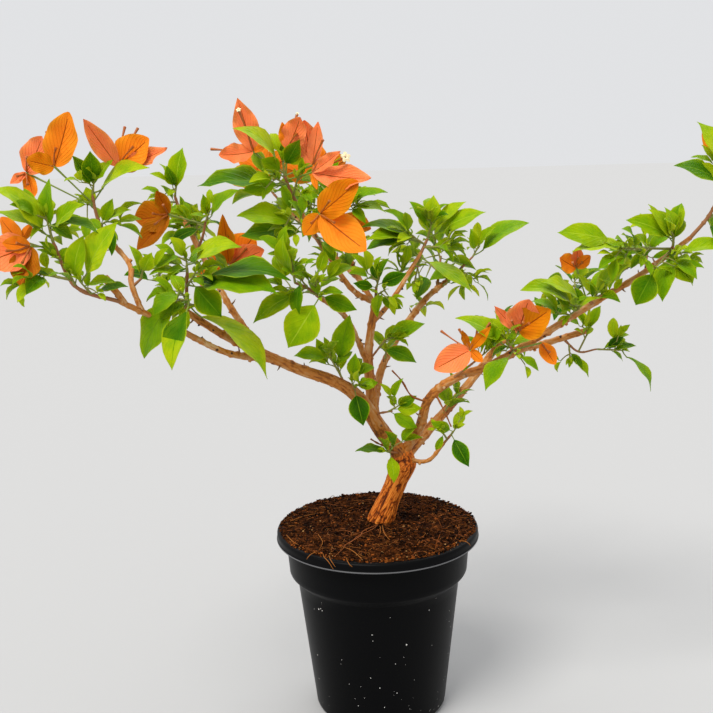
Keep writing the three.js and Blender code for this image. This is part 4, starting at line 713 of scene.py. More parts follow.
def grow_fine(grown):
    """Small leaves along each spray, side twigs with a few leaves, and the young leaves of its bud."""
    mass, draw, room = grown["mass"], grown["draw"], (grown["centre"], grown["mass"]["reach"])

    def try_leaf(start, along, length, facing, rank):
        blade = small_leaf(start, along, length, draw, facing)
        if not take_room(blade, *room):
            return False
        grown["fine_leaves"].append(new_leaf(start, blade, rank))
        return True

    grown["leaves"] += [leaf for leaf in grown["late"] if take_room(leaf["blade"], *room)]
    for curve, spray in zip(grown["sprays"], mass["sprays"]):
        fan_from, fan_to = spray["fan"]
        facing = mix(-0.5, 0.4, clamp01((spray["tip"][1] - 40) / 70))
        count = max(2, round(curve.length() / FINE["step"]))
        for k in range(count):
            rank = mix(0.35, 1, (k + draw()) / count)
            root = curve.at(rank)
            clock = mix(fan_from - 25, fan_to + 25, draw())
            along = clock_direction(clock, mix(-1.1, 1.1, draw()))
            length = mix(*FINE["length"], draw())
            if k % 2 == 0:
                try_leaf(root, along, length, facing, rank)
                continue
            end = root + along * mix(*FINE["twig"], draw())
            aside = unit(np.cross(along, vec(0.2, 1, 0.3)))
            kept = 0
            for turn in (-1, 0, 1):
                way = unit(along + 0.75 * turn * aside + 0.2 * vec(0, 0, 1))
                foot = end - along * 1.5 * (turn == 0)
                kept += try_leaf(foot, way, length * mix(0.7, 1, draw()), facing, 0.9)
            if kept:
                grown["fine_twigs"].append(Curve(root, (root + end) / 2 + vec(0, 0, 0.8), end))
        tip, ahead = curve.at(1), curve.along(1)
        for k in range(FINE["bud_leaves"]):
            outward = around(ahead, vec(0.3, 1, 0.2), GOLDEN * k + draw())
            way = unit(ahead + 0.45 * outward + 0.25 * vec(0, 0, 1))
            length = mix(*FINE["bud_length"], draw())
            blade = small_leaf(tip - ahead * 0.4 * k, way, length, draw, facing, 0.8)
            grown["fine_leaves"].append(new_leaf(tip, blade, 1.2))


grown_masses = {name: grow_mass(row) for name, row in MASSES.items()}
for grown in grown_masses.values():
    grow_fine(grown)


# Blades, each a top and an underside that meet at the margin: where their points lie along and across
LARGE = (
    np.array([0.012, 0.05, 0.11, 0.19, 0.29, 0.39, 0.5, 0.61, 0.72, 0.82, 0.9, 0.96, 0.992]),
    np.array([-1, -0.91, -0.5, -0.04, 0.04, 0.5, 0.91, 1]),
)
SMALL = (
    np.array([0.012, 0.08, 0.2, 0.36, 0.54, 0.72, 0.88, 0.992]),
    np.array([-1, -0.88, -0.06, 0.06, 0.88, 1]),
)
BROAD = (
    np.array([0.012, 0.05, 0.1, 0.17, 0.25, 0.34, 0.43, 0.52, 0.61, 0.7, 0.79, 0.87, 0.94, 0.992]),
    np.array([-1, -0.82, -0.6, -0.36, -0.035, 0.035, 0.36, 0.6, 0.82, 1]),
)


def add_blade(soup, blade, looks, grid, thickness, wave, waves, phase, rib):
    """A blade whose margin waves, with a rib below; looks names its top, underside, rib and margin."""
    rows, columns = map(len, grid)
    s, a = np.meshgrid(*grid, indexing="ij")
    middle, facing = blade_points(blade, s, a)
    turn = 2 * np.pi * waves * s + phase + np.where(a < 0, 1.7, 0)
    lift = wave * np.sin(turn) * np.abs(a) ** 2.2 * np.sin(np.pi * s) ** 0.5
    middle = middle + facing * lift[..., None]
    belly = thickness / 2 * (1 - a**2)
    ridge = rib * np.exp(-((a / 0.12) ** 2)) * (1 - 0.8 * s)
    quads = grid_faces(rows, columns)
    halves = np.concatenate([quads[:, :3], quads[:, [0, 2, 3]]])
    strip, row = np.arange(len(quads)) % (columns - 1), quads[:, 0] // columns
    ribbed = (strip == (columns - 1) // 2) & (row < rows - 3)
    upper = np.where(ribbed, looks["rib"], looks["top"])
    if "foot" in looks:
        upper = np.where(grid[0][row] < 0.5, looks["foot"], upper)
    # The outermost strips take a lighter green: partly the leaf's own paler edge, partly a painted highlight
    # along it
    if "margin" in looks:
        upper = np.where((strip == 0) | (strip == columns - 2), looks["margin"], upper)
    lower = np.where(ribbed, looks["rib"], looks["under"])
    uvs = np.stack([a.ravel() * 0.5 + 0.5, s.ravel()], axis=1)
    top = middle + facing * (belly - 0.3 * ridge)[..., None]
    under = middle - facing * (belly + ridge)[..., None]
    soup.add(top, halves[:, ::-1], np.tile(upper, 2).tolist(), uvs)
    soup.add(under, halves, np.tile(lower, 2).tolist(), uvs)


def add_petiole(soup, start, blade, radius):
    foot = blade["foot"] + blade["along"] * blade["length"] * 0.03
    sag = (start + foot) / 2 - blade["face"] * np.linalg.norm(foot - start) * 0.06
    girth = run_through(radius * 1.25, radius * 0.9, radius)
    add_tube(soup, Curve(start, sag, foot), girth, 5, 5, "stalk", cap=False)


# Ranges of the finer forms: times as broad, the fold along the rib and what is added to the arch
NAMED_FORM = ((0.92, 1.04), (0.1, 0.4), (0.0, 0.5))
LEAF_FORM = ((0.9, 1.15), (0.2, 0.7), (0.0, 0.7))
BRACT_FORM = ((0.98, 1.12), (0.1, 0.45), (-0.3, 0.3))
PLAIN_FORM = (0, 1, 1, 0)
USUAL_BREADTH = 0.55
LEAST_SHOWN = 0.4
LARGE_FROM = 21


def settle(blade, draw, breadth, fold, arch):
    """The finer form of a blade, drawn from its ranges."""
    return {
        **blade, "width": blade["width"] * mix(*breadth, draw()), "fold": mix(*fold, draw() ** 1.5),
        "curl": blade["curl"] + mix(*arch, draw()),
    }


def turn_to_front(blade):
    """A leaf of the usual breadth, turned about its length until it shows its breadth in the tables."""
    shown = blade["width"] / blade["length"]
    share = min(1.0, max(LEAST_SHOWN, shown / USUAL_BREADTH))
    face, side = blade["face"], np.cross(blade["along"], blade["face"])
    look = unit(blade["foot"] + blade["along"] * blade["length"] / 2 - EYE)
    phase = math.atan2(side @ look, face @ look)
    turns = [(phase + sign * math.acos(-share) + math.pi) % (2 * math.pi) - math.pi for sign in (-1, 1)]
    turn = min(turns, key=abs)
    face = face * math.cos(turn) + side * math.sin(turn)
    return {
        **blade, "face": face, "side": np.cross(blade["along"], face), "width": blade["width"] / share,
    }


def reform(blade, depth, longer, broader, bare):
    """The blade longer and broader, and with its tip nearer to the eye in the same line of sight."""
    length = blade["length"] * longer
    foot = blade["foot"] + blade["along"] * length * bare
    blade = {**blade, "foot": foot, "length": length * (1 - bare), "width": blade["width"] * broader}
    if not depth:
        return blade
    reach = blade["along"] * blade["length"]
    reach = reach + unit(EYE - blade["foot"] - reach) * depth
    along = unit(reach)
    side = unit(np.cross(along, blade["face"]))
    return {
        **blade, "along": along, "side": side, "face": np.cross(side, along),
        "length": np.linalg.norm(reach), "curl": 1.2,
    }


LEAF_LOOKS = {}
# Each green's margin strip is a lighter green: partly the leaf's own paler edge, partly a painted highlight
for kind in ("deep", "dark", "mid", "light", "young"):
    pale = kind in ("light", "young")
    LEAF_LOOKS[kind] = {
        "top": "leaf_" + kind, "under": "leaf_under_light" if pale else "leaf_under",
        "rib": "leaf_rib_light" if pale else "leaf_rib", "margin": "leaf_young" if pale else "leaf_light",
    }
LEAF_LOOKS["edged"] = {**LEAF_LOOKS["dark"], "margin": "leaf_young"}
LEAF_LOOKS["edged_young"] = {**LEAF_LOOKS["young"], "rib": "leaf_mid", "foot": "leaf_dark"}


def leaf_kind(leaf, draw):
    """Older leaves, low on a spray, are deeper green; the youngest are yellow-green."""
    age = leaf["rank"] + mix(-0.45, 0.45, draw())
    if leaf["blade"]["length"] < 12:
        age += 0.35
    return pick(age, deep=0.12, dark=0.42, mid=0.85, light=1.25, young=math.inf)


def add_leaf(leaf_soup, twig_soup, leaf, draw):
    looks = LEAF_LOOKS[leaf["look"] or leaf_kind(leaf, draw)]
    if leaf["named"]:
        blade = reform(leaf["blade"], *leaf["form"])
        blade = settle(turn_to_front(blade), draw, *NAMED_FORM)
        blade.update(widest=mix(0.42, 0.5, draw()), foot_full=1.0)
    else:
        blade = settle(leaf["blade"], draw, *LEAF_FORM)
        blade.update(full=1.1, widest=mix(0.4, 0.5, draw()))
    length = blade["length"]
    wave = length * mix(0.012, 0.04, draw())
    grid, thickness, rib = (LARGE, 0.36, 0.3) if length > LARGE_FROM else (SMALL, 0.26, 0.15)
    add_blade(leaf_soup, blade, looks, grid, thickness, wave, mix(1.2, 2.6, draw()), draw() * ANY_TURN, rib)
    add_petiole(twig_soup, leaf["start"], blade, clamp01((length - 6) / 40) * 0.42 + 0.24)


def add_star(soup, centre, axis, radius):
    """The small open flower at the end of a tube: five rounded lobes."""
    places = [centre + axis * 0.2]
    for turn in ring_turns(20):
        reach = radius * (0.62 + 0.38 * abs(math.cos(2.5 * turn)))
        for share, lift in ((0.45, 0.9), (1, 0.5)):
            places.append(centre + axis * lift + reach * share * around(axis, vec(0.2, 0.4, 1), turn))
    inner = 1 + 2 * np.arange(20)
    after = np.roll(inner, -1)
    soup.add(places, np.stack([inner * 0, inner, after], axis=1), "star")
    soup.add(places, np.stack([inner, inner + 1, after + 1, after], axis=1), "star")


def add_flower_tube(soup, root, way, length, star, draw):
    """A slender tube with a knob at its end, or an open star of some reach."""
    end = root + way * length
    middle = (root + end) / 2 + unit(np.cross(way, vec(0.3, 1, 0.2))) * mix(-1, 1, draw())
    add_tube(soup, Curve(root, middle, end), run_through(0.8, 0.9, 0.6, 0.55, 0.75, 1.15), 8, 10, "tube")
    if star:
        add_star(soup, end, unit(way + vec(0, -1.4, 0.3)), star)


def add_flower(bract_soup, flower_soup, twig_soup, flower, draw, tubes):
    """The bracts on their stalk, each with a slender tube on its rib, or with the tubes in the table."""
    stalk = flower["stalk"]
    add_tube(twig_soup, stalk, run_through(0.65, 0.55, 0.9), 6, 6, "stalk")
    centre = stalk.at(1)
    for blade in flower["bracts"]:
        blade = settle(blade, draw, *BRACT_FORM)
        along, length = blade["along"], blade["length"]
        full = mix(*((0.85, 1.1) if blade["width"] < 0.5 * length else (0.6, 0.85)), draw())
        blade.update(full=full, foot_full=0.7 * full, widest=mix(0.42, 0.54, draw()))
        # The back look is the darker orange-brown of painted shade; the underside takes a painted shade too
        kind = blade["look"] or ("back", "orange", "coral")[int(draw() * 3)]
        looks = {"top": "bract_" + kind, "under": "bract_under_shaded", "rib": "bract_rib"}
        wave = length * mix(0.03, 0.07, draw())
        add_blade(bract_soup, blade, looks, BROAD, 0.22, wave, mix(1.5, 3.2, draw()), draw() * ANY_TURN, 0.3)
        if tubes is None:
            way = unit(along + 0.5 * blade["face"])
            root = centre + along * 1.5 + blade["face"] * 0.6
            add_flower_tube(flower_soup, root, way, min(18, length * 0.5), 0, draw)
    for clock, length, lean, star in tubes or ():
        way = clock_direction(clock, lean)
        add_flower_tube(flower_soup, centre + way * 1.2, way, length, star, draw)


# Materials
MATERIALS = {}


def surface(name, colour, roughness, **more):
    """A material of one Principled surface; more sets other inputs of it by name."""
    material = MATERIALS[name] = bpy.data.materials.new(name)
    material.use_nodes = True
    shader = material.node_tree.nodes["Principled BSDF"]
    for label, value in {"Base Color": (*colour, 1), "Roughness": roughness, **more}.items():
        shader.inputs[label.replace("_", " ")].default_value = value
    return material


def add_node(material, kind, *values, **named):
    """A node of a kind. Its inputs, by place or by name, are set, or linked to another node's output."""
    tree = material.node_tree
    node = tree.nodes.new("ShaderNode" + kind)
    for place, value in [*enumerate(values), *named.items()]:
        if isinstance(value, bpy.types.NodeSocket):
            tree.links.new(value, node.inputs[place])
        else:
            node.inputs[place].default_value = value
    return node


def link_shader(material, label, output):
    tree = material.node_tree
    tree.links.new(output, tree.nodes["Principled BSDF"].inputs[label])


def add_bump(material, height, strength, distance):
    bump = add_node(material, "Bump", Strength=strength, Distance=distance, Height=height)
    link_shader(material, "Normal", bump.outputs["Normal"])


def object_noise(material, scale, detail, stretch=(1, 1, 1)):
    """Noise that stays with the piece, stretched along its axes."""
    place = add_node(material, "TexCoord").outputs["Object"]
    mapped = add_node(material, "Mapping", Vector=place, Scale=stretch).outputs["Vector"]
    return add_node(material, "TexNoise", Vector=mapped, Scale=scale, Detail=detail).outputs["Fac"]


def tone_ramp(material, stops, source=None):
    """The base colour runs through the stops along the tone of the mesh, or along another source."""
    if source is None:
        tone = add_node(material, "Attribute")
        tone.attribute_name = "tone"
        source = tone.outputs["Fac"]
    ramp = add_node(material, "ValToRGB", Fac=source)
    points = ramp.color_ramp.elements
    while len(points) < len(stops):
        points.new(0.5)
    for point, (place, *colour) in zip(points, stops):
        point.position = place
        point.color = (*colour, 1)
    link_shader(material, "Base Color", ramp.outputs["Color"])


def vein_height(material, veins, slant):
    """Veins that run out and forward from the rib, as height from the blade's own coordinates."""

    def step(operation, *values):
        node = add_node(material, "Math", *values)
        node.operation = operation
        return node.outputs["Value"]

    place = add_node(material, "UVMap")
    place.uv_map = "UVMap"
    parts = add_node(material, "SeparateXYZ", Vector=place.outputs["UV"])
    across = step("ABSOLUTE", step("SUBTRACT", parts.outputs["X"], 0.5))
    run = step("MULTIPLY_ADD", across, -slant, parts.outputs["Y"])
    wave = step("PINGPONG", step("MULTIPLY", run, veins), 0.5)
    return step("SMOOTH_MIN", step("MULTIPLY", wave, 5.0), 1.0, 0.3)


def blade_surfaces(colours, roughness, darker, lighter, scale, veins, bump, **more):
    """Surfaces of blades: soft patches between two tints of their colour, and veins but on the ribs."""
    for name, colour in colours.items():
        made = surface(name, colour, roughness, **more)
        if "rib" in name:
            continue
        low, high = ([c * t for c, t in zip(colour, tint)] for tint in (darker, lighter))
        tone_ramp(made, [(0.36, *low), (0.64, *high)], object_noise(made, scale, 2))
        add_bump(made, vein_height(made, *veins), *bump)


LEAF_COLOURS = {
    "leaf_deep": (0.016, 0.066, 0.001), "leaf_dark": (0.046, 0.14, 0.001), "leaf_mid": (0.125, 0.255, 0.002),
    "leaf_light": (0.195, 0.325, 0.002), "leaf_young": (0.275, 0.4, 0.005),
    "leaf_under": (0.15, 0.26, 0.012), "leaf_under_light": (0.32, 0.44, 0.015),
    "leaf_rib": (0.11, 0.21, 0.006), "leaf_rib_light": (0.29, 0.41, 0.018),
}
# bract_back and the bracts' underside colour are a darker orange-brown than the rest: painted shade, for
# bracts that lie in shade or are lit from behind and for their undersides
BRACT_COLOURS = {
    "bract_orange": (0.94, 0.23, 0.01), "bract_back": (0.7, 0.19, 0.002), "bract_under_shaded": (0.8, 0.195, 0.008),
    "bract_rib": (0.3, 0.06, 0.002), "bract_coral": (1.0, 0.225, 0.072), "bract_dry": (0.47, 0.13, 0.002),
}
blade_surfaces(
    LEAF_COLOURS, 0.45, (0.76, 0.87, 1), (1.24, 1.11, 1), 95, (6.5, 0.9), (0.35, 0.0006),
    Subsurface_Weight=0.3, Subsurface_Scale=0.003, Subsurface_Radius=(0.8, 1.0, 0.1),
    Specular_IOR_Level=0.1, Specular_Tint=(0.8, 1.0, 0.25, 1),
)
blade_surfaces(
    BRACT_COLOURS, 0.6, (0.96, 0.9, 0.85), (1.0, 1.08, 1.12), 60, (7.5, 1.2), (0.45, 0.0008),
    Subsurface_Weight=0.15, Subsurface_Scale=0.002, Subsurface_Radius=(1.0, 0.35, 0.1),
    Specular_IOR_Level=0.2, Specular_Tint=(1.0, 0.55, 0.3, 1),
)
surface("tube", (0.4, 0.105, 0.008), 0.5, Subsurface_Weight=0.2, Subsurface_Scale=0.002)
surface("star", (0.9, 0.78, 0.48), 0.5, Subsurface_Weight=0.3, Subsurface_Scale=0.002)
surface("stalk", (0.2, 0.27, 0.025), 0.5)
surface("twig_green", (0.24, 0.24, 0.04), 0.55)
surface("twig_brown", (0.33, 0.13, 0.04), 0.65)
surface("thorn", (0.22, 0.1, 0.04), 0.5)
surface("cut", (0.62, 0.4, 0.2), 0.8)
bark = surface("trunk_bark", (0.578, 0.188, 0.045), 0.7, Specular_IOR_Level=0.2)
tone_ramp(bark, [
    (0.0, 0.05, 0.009, 0.001), (0.38, 0.22, 0.044, 0.003), (0.62, 0.56, 0.12, 0.007),
    (1.0, 0.86, 0.27, 0.034),
])
add_bump(bark, object_noise(bark, 900, 4, (1, 1, 0.35)), 0.5, 0.0006)
bark = surface("bough_bark", (0.5, 0.2, 0.06), 0.6, Specular_IOR_Level=0.35)
tone_ramp(bark, [
    (0.0, 0.06, 0.015, 0.001), (0.28, 0.27, 0.075, 0.005), (0.55, 0.52, 0.175, 0.018),
    (0.8, 0.52, 0.23, 0.062), (1.0, 0.64, 0.39, 0.18),
])
add_bump(bark, object_noise(bark, 1100, 4), 0.4, 0.0004)
plastic = surface("pot_plastic", (0.002, 0.0021, 0.0024), 0.38, Specular_IOR_Level=0.06)
add_bump(plastic, object_noise(plastic, 260, 2, (1, 1, 0.5)), 0.06, 0.0006)
# The bead under the rim: a lighter grey, a painted highlight along the edge
surface("pot_edge_highlight", (0.11, 0.11, 0.115), 0.4)
surface("pot_speck", (0.7, 0.68, 0.64), 0.8)
earth = surface("soil", (0.05, 0.022, 0.01), 0.95, Specular_IOR_Level=0.05)
tone_ramp(earth, [
    (0.0, 0.004, 0.001, 0.0003), (0.5, 0.022, 0.006, 0.001), (0.8, 0.07, 0.019, 0.003),
    (1.0, 0.2, 0.06, 0.01),
])
SOIL_BITS = {
    "crumb_dark": (0.01, 0.003, 0.0006), "crumb_brown": (0.075, 0.021, 0.003),
    "crumb_red": (0.27, 0.07, 0.01), "crumb_pale": (0.45, 0.25, 0.09), "fibre_red": (0.2, 0.05, 0.006),
    "fibre_tan": (0.34, 0.12, 0.024), "fibre_dark": (0.08, 0.022, 0.004), "fibre_pink": (0.32, 0.1, 0.03),
}
for name, colour in SOIL_BITS.items():
    surface(name, colour, 0.85, Specular_IOR_Level=0.08)


# Bark: the trunk and the boughs, with relief
def bark_relief(places, distance, turns, radius, coarse, salt):
    """Height of the bark: long plates between fissures, that run up the wood and branch."""
    wrapped = np.stack([np.cos(turns) * radius, np.sin(turns) * radius, distance * 0.13], axis=1) / coarse
    warp = noise(places / (coarse * 2.2), salt + 5)[:, None] * 0.6
    wide = np.exp(-((noise(wrapped + warp, salt) / 0.17) ** 2))
    thin = np.exp(-((noise(wrapped * 1.9 + warp * 1.6, salt + 2) / 0.14) ** 2))
    cross = np.exp(-((noise(places / (coarse * 0.9), salt + 4) / 0.07) ** 2))
    grain = fractal(wrapped * np.array([4.2, 4.2, 3.0]), 3, salt + 11)
    return 1 - 0.6 * wide - 0.34 * thin - 0.08 * cross + 0.16 * grain


def node_swell(distance, radii, turns, salt):
    """The wood swells on one side where a leaf once stood; thick wood has almost outgrown it."""
    swell = np.zeros((len(distance), len(turns)))
    draw = seeded(salt * 7 + 3)
    place = 4 + draw() * 8
    while place < distance[-1]:
        side = np.clip(np.cos(turns - draw() * ANY_TURN), 0, 1) ** 0.7
        rise = np.exp(-((distance - place) / mix(1.0, 1.7, draw())) ** 2) * mix(0.12, 0.5, draw())
        swell += rise[:, None] * (0.25 + 0.75 * side)
        place += mix(4.5, 13, draw())
    young = np.clip((5.6 - radii) / 2.6, 0.12, 1)
    return swell * (np.minimum(radii, 3.0) * young)[:, None]


def close_end(soup, ring, tone, look, bulge, along):
    """Closes a ring of bark with rounds that bulge along the wood."""
    centre = ring.mean(axis=0)
    sides = len(ring)
    rounds = [
        centre + (ring - centre) * share + along * bulge * lift for share, lift in ((0.8, 0.45), (0.45, 0.85))
    ]
    places = np.vstack([ring, *rounds, centre + along * bulge])
    soup.add(places, grid_faces(3, sides, True), look, None, tone)
    soup.add(places, fan_faces(sides, 2 * sides, 3 * sides), look, None, tone)


def add_wood(soup, name, sides, spacing, relief, look, salt):
    """The bark of one limb; gives back its rings of vertices."""
    curve, radius_at = curves[name], radii_at[name]
    is_trunk = name == "trunk"
    length = curve.length()
    rings = max(8, round(length / spacing))
    shares = np.linspace(0, 1, rings)
    turns = ring_turns(sides)
    plain = tube_rings(curve, radius_at, sides, shares)
    flat = plain.reshape(-1, 3)
    centres = np.array([curve.at(share) for share in shares])
    radii = np.array([radius_at(share) for share in shares])
    outward = plain - centres[:, None]
    outward /= np.linalg.norm(outward, axis=2)[..., None]
    distance, all_turns = np.repeat(shares * length, sides), np.tile(turns, rings)
    coarse = 1.7 if is_trunk else 1.9
    height = bark_relief(flat, distance, all_turns, np.repeat(radii, sides), coarse, salt)
    height = height.reshape(rings, sides)
    swell = 0 if is_trunk else node_swell(shares * length, radii, turns, salt)
    collar = 0 if is_trunk else np.exp(-(shares * length / 4.5) ** 2) * 0.12
    girth = (radii * (1 + collar))[:, None] + swell
    depth = relief * np.clip(radii / radii.max(), 0.35, 1)
    lumps = noise(flat / 14, salt + 3).reshape(rings, sides) * radii[:, None] * 0.05
    places = centres[:, None] + outward * (girth + (height - 0.62) * depth[:, None] + lumps)[..., None]
    patches = noise(flat / 8, salt + 7).reshape(rings, sides)
    if is_trunk:
        tone = 0.62 + (height - 0.72) * 1.05 + patches * 0.2
        slim = 1 - 0.13 * np.exp(-((shares - 0.5) / 0.22) ** 2)
        places = centres[:, None] + (places - centres[:, None]) * slim[:, None, None]
    else:
        dark = 0.2 * np.clip(swell / 0.5, 0, 1) * (0.5 + patches)
        tone = np.interp(girth, (2.2, 9), (0.68, 0.4)) + (height - 0.72) * 0.6 + patches * 0.3 - dark
    uvs = np.stack([all_turns / (2 * np.pi), distance], axis=1)
    soup.add(places, grid_faces(rings, sides, True), look, uvs, np.clip(tone, 0, 1).ravel())
    return places


def bark_point(name, share, turn):
    """A point on the bark, the way it faces there and the way the wood runs."""
    along = curves[name].along(share)
    out = around(along, vec(0.15, 1, 0.2), turn)
    return curves[name].at(share) + out * radii_at[name](share) * 0.93, out, along


def add_thorn(soup, root, out, along, length, radius, look):
    tip = root + out * length + along * length * 0.25
    middle = root + out * length * 0.5 + along * length * 0.06
    add_tube(soup, Curve(root, middle, tip), run_through(radius, radius * 0.7, 0.16), 7, 7, look)


trunk_soup = Soup("trunk_bark")
rings = add_wood(trunk_soup, "trunk", 128, 0.8, 1.65, "trunk_bark", 3)
close_end(trunk_soup, rings[-1], 0.5, "trunk_bark", 4.5, curves["trunk"].along(1))
close_end(trunk_soup, rings[0][::-1], 0.3, "trunk_bark", 1.0, -curves["trunk"].along(0))
trunk_soup.make("trunk_bark_relief", "trunk_bark", ["trunk"])

# Dead twigs without leaves, by their points and thickness
BARE_TWIGS = [
    ([(40, -17, 268), (29, -20, 274), (22, -22, 286), (14, -26, 296)], 0.75),
    ([(8, -9, 229), (2, -14, 233), (-4, -18, 238)], 0.8),
    ([(49, -20, 274), (55, -30, 262), (60, -30, 250)], 0.7),
]
# Bark meshes of the boughs: for a radius above the first number, the sides and the spacing of rings
BOUGH_MESHES = ((4.5, 40, 0.8), (3, 28, 1.0), (0, 20, 1.0))
THORN_EVERY = 17
bough_soup = Soup("bough_bark", "thorn", "cut")
draw = seeded(71)
for index, (name, row) in enumerate(LIMBS.items()):
    sides, spacing = next(made for limit, *made in BOUGH_MESHES if max(row["radii"]) > limit)
    rings = add_wood(bough_soup, name, sides, spacing, 0.6, "bough_bark", 31 + index)
    look, bulge = ("cut", 0.6) if name.endswith("stub") else ("bough_bark", 1.4)
    close_end(bough_soup, rings[-1], 0.6, look, bulge, curves[name].along(1))
    close_end(bough_soup, rings[0][::-1], 0.3, "bough_bark", 0.5, -curves[name].along(0))
    for k in range(round(curves[name].length() / THORN_EVERY)):
        share = mix(0.12, 0.95, draw())
        root, out, along = bark_point(name, share, draw() * ANY_TURN)
        kind = pick(draw(), thorn=0.4, knot=0.75, stump=1)
        if kind == "thorn":
            add_thorn(bough_soup, root, out, along, mix(3, 6, draw()), 0.85, "thorn")
        elif kind == "knot":
            length, radius = mix(1.2, 2.2, draw()), mix(0.9, 1.4, draw())
            add_thorn(bough_soup, root, out, along, length, radius, "bough_bark")
        else:
            curve = Curve(root, root + out * 1.6 + along * 0.4)
            add_tube(bough_soup, curve, run_through(1.5, 1.1), 9, 4, "bough_bark", 0.7, True, "cut")
for points, radius in BARE_TWIGS:
    girth = run_through(radius, radius * 1.3, radius * 0.7, radius * 1.25, radius * 0.7, radius)
    add_tube(bough_soup, Curve(*points), girth, 8, 20, "bough_bark", 0.25)
bough_soup.make("bough_bark_relief", "bough_bark", list(LIMBS))


# Masses: leaves, twigs and blossom, by region
REGIONS = {
    "left": "left_end left_upper left_mid left_rosette left_tip left_inner left_back",
    "top": "top_left top_front top_back back",
    "centre": "centre_front bough_left bough_low centre_right centre_top trunk fork fork_right",
    "crown": ("right_crown right_crown_end right_crown_back right_low right_mid right_under right_behind "
              "right_back"),
    "right": "right_shoot right_cluster right_cluster_back right_tip",
}
# Tubes by mass and flower: each by its clock angle, its length, its lean to the back and its star's reach
TUBES = {
    ("top_left", 0): [(106, 31, -0.3, 2.0), (175, 34, 0.35, 0)],
    ("top_left", 1): [(64, 20, -0.3, 0)],
    ("top_left", 2): [(22, 28, -0.4, 4.2), (48, 17, -0.3, 0)],
    ("top_left", 3): [(73, 28, 0.4, 1.5), (55, 13, -0.3, 0)],
    ("left_inner", 1): [(57, 28, 0.3, 2.0), (40, 20, -0.3, 0)],
    ("left_upper", 0): [(105, 27, 0.4, 0), (175, 17, -0.3, 0), (75, 13, -0.3, 0)],
    ("left_upper", 1): [(81, 30, 0.4, 0), (63, 32, 0.4, 0), (45, 19, -0.3, 0)],
    ("right_low", 0): [(147, 26, 0.4, 0), (116, 17, 0.2, 0), (71, 16, -0.2, 0), (51, 25, 0.2, 0)],
}
# Named leaves of another form: depth towards the eye, times as long, times as broad, and share of bare stalk
FORMS = {
    ("top_left", 0): (30, 1, 1, 0), ("left_rosette", 8): (0, 1.13, 1.25, 0),
    ("left_rosette", 7): (0, 1, 0.9, 0), ("left_end", 7): (0, 1, 0.88, 0), ("left_end", 8): (0, 1, 0.85, 0),
    ("right_cluster", 4): (0, 1, 0.75, 0.42), ("right_cluster", 5): (0, 1, 1.1, 0.2),
    ("trunk", 0): (0, 1.15, 0.6, 0), ("trunk", 1): (0, 1, 0.78, 0),
}


def add_twig(soup, curve, draw, look, *radii):
    """A twig with small swellings where its leaves stand."""
    length, girth = curve.length(), run_through(*radii)
    knots = [draw() for _ in range(max(1, round(length / 6)))]

    def radius_at(share):
        return girth(share) * (1 + 0.22 * sum(math.exp(-((share - k) * length / 0.8) ** 2) for k in knots))

    add_tube(soup, curve, radius_at, 10, max(6, round(length / 0.9)), look)


for region, names in REGIONS.items():
    leaf_soup, bract_soup = Soup(*LEAF_COLOURS), Soup(*BRACT_COLOURS)
    twig_soup, flower_soup = Soup("twig_green", "twig_brown", "stalk"), Soup("tube", "star")
    for name in names.split():
        grown = grown_masses[name]
        draw = seeded(grown["mass"]["seed"] + 5000)
        radius = grown["mass"]["radius"]
        add_twig(twig_soup, grown["stem"], draw, "twig_brown", radius, radius * 0.85, radius * 0.7)
        for curve in grown["sprays"]:
            add_twig(twig_soup, curve, draw, "twig_green", radius * 0.72, 0.75, 0.5)
        for curve in grown["fine_twigs"]:
            add_twig(twig_soup, curve, draw, "twig_green", 0.55, 0.4)
        named = [leaf for leaf in grown["leaves"] if leaf["named"]]
        for number, leaf in enumerate(named):
            leaf["form"] = FORMS.get((name, number), PLAIN_FORM)
        for leaf in grown["leaves"] + grown["fine_leaves"]:
            if leaf["twig"] is not None:
                add_twig(twig_soup, leaf["twig"], draw, "twig_green", 0.75, 0.6)
            add_leaf(leaf_soup, twig_soup, leaf, draw)
        for number, blossom in enumerate(grown["flowers"]):
            add_flower(bract_soup, flower_soup, twig_soup, blossom, draw, TUBES.get((name, number)))
    leaf_soup.make("leaves_" + region, "foliage", ["foliage_" + name for name in names.split()])
    twig_soup.make("twigs_" + region, "foliage")
    if bract_soup.count:
        bract_soup.make("bracts_" + region, "foliage")
        flower_soup.make("flowers_" + region, "foliage")


# Short leafy shoots on the older wood at the back: how many stand on each bough
SHOOTS = {
    "bough_back": 3, "bough_left_back": 3, "bough_right_back": 3, "bough_right_behind": 3,
    "bough_top_back": 2, "bough_centre_right": 3, "bough_centre_side": 1,
}
SHOOT_REACH = 45


def add_shoot(leaf_soup, twig_soup, name, share, draw):
    """A twig of a few millimetres with a whorl of small leaves, where they have room."""
    root, out, along = bark_point(name, share, draw() * ANY_TURN)
    ahead = unit(out + 0.6 * along + vec(0, 0, 0.5))
    tip = root + ahead * mix(6, 12, draw())
    kept = 0
    for k in range(7):
        outward = around(ahead, vec(0.3, 1, 0.2), GOLDEN * k + draw())
        way = unit(0.8 * ahead + outward + vec(0, 0, 0.25))
        blade = small_leaf(tip - ahead * 0.5 * k, way, mix(13, 27, draw()), draw, 0.2)
        if take_room(blade, tip, SHOOT_REACH):
            add_leaf(leaf_soup, twig_soup, new_leaf(tip, blade, mix(0.2, 1, draw())), draw)
            kept += 1
    if kept:
        twig = Curve(root, (root + tip) / 2 + vec(0, 0, 0.5), tip)
        add_twig(twig_soup, twig, draw, "twig_green", 0.9, 0.6)


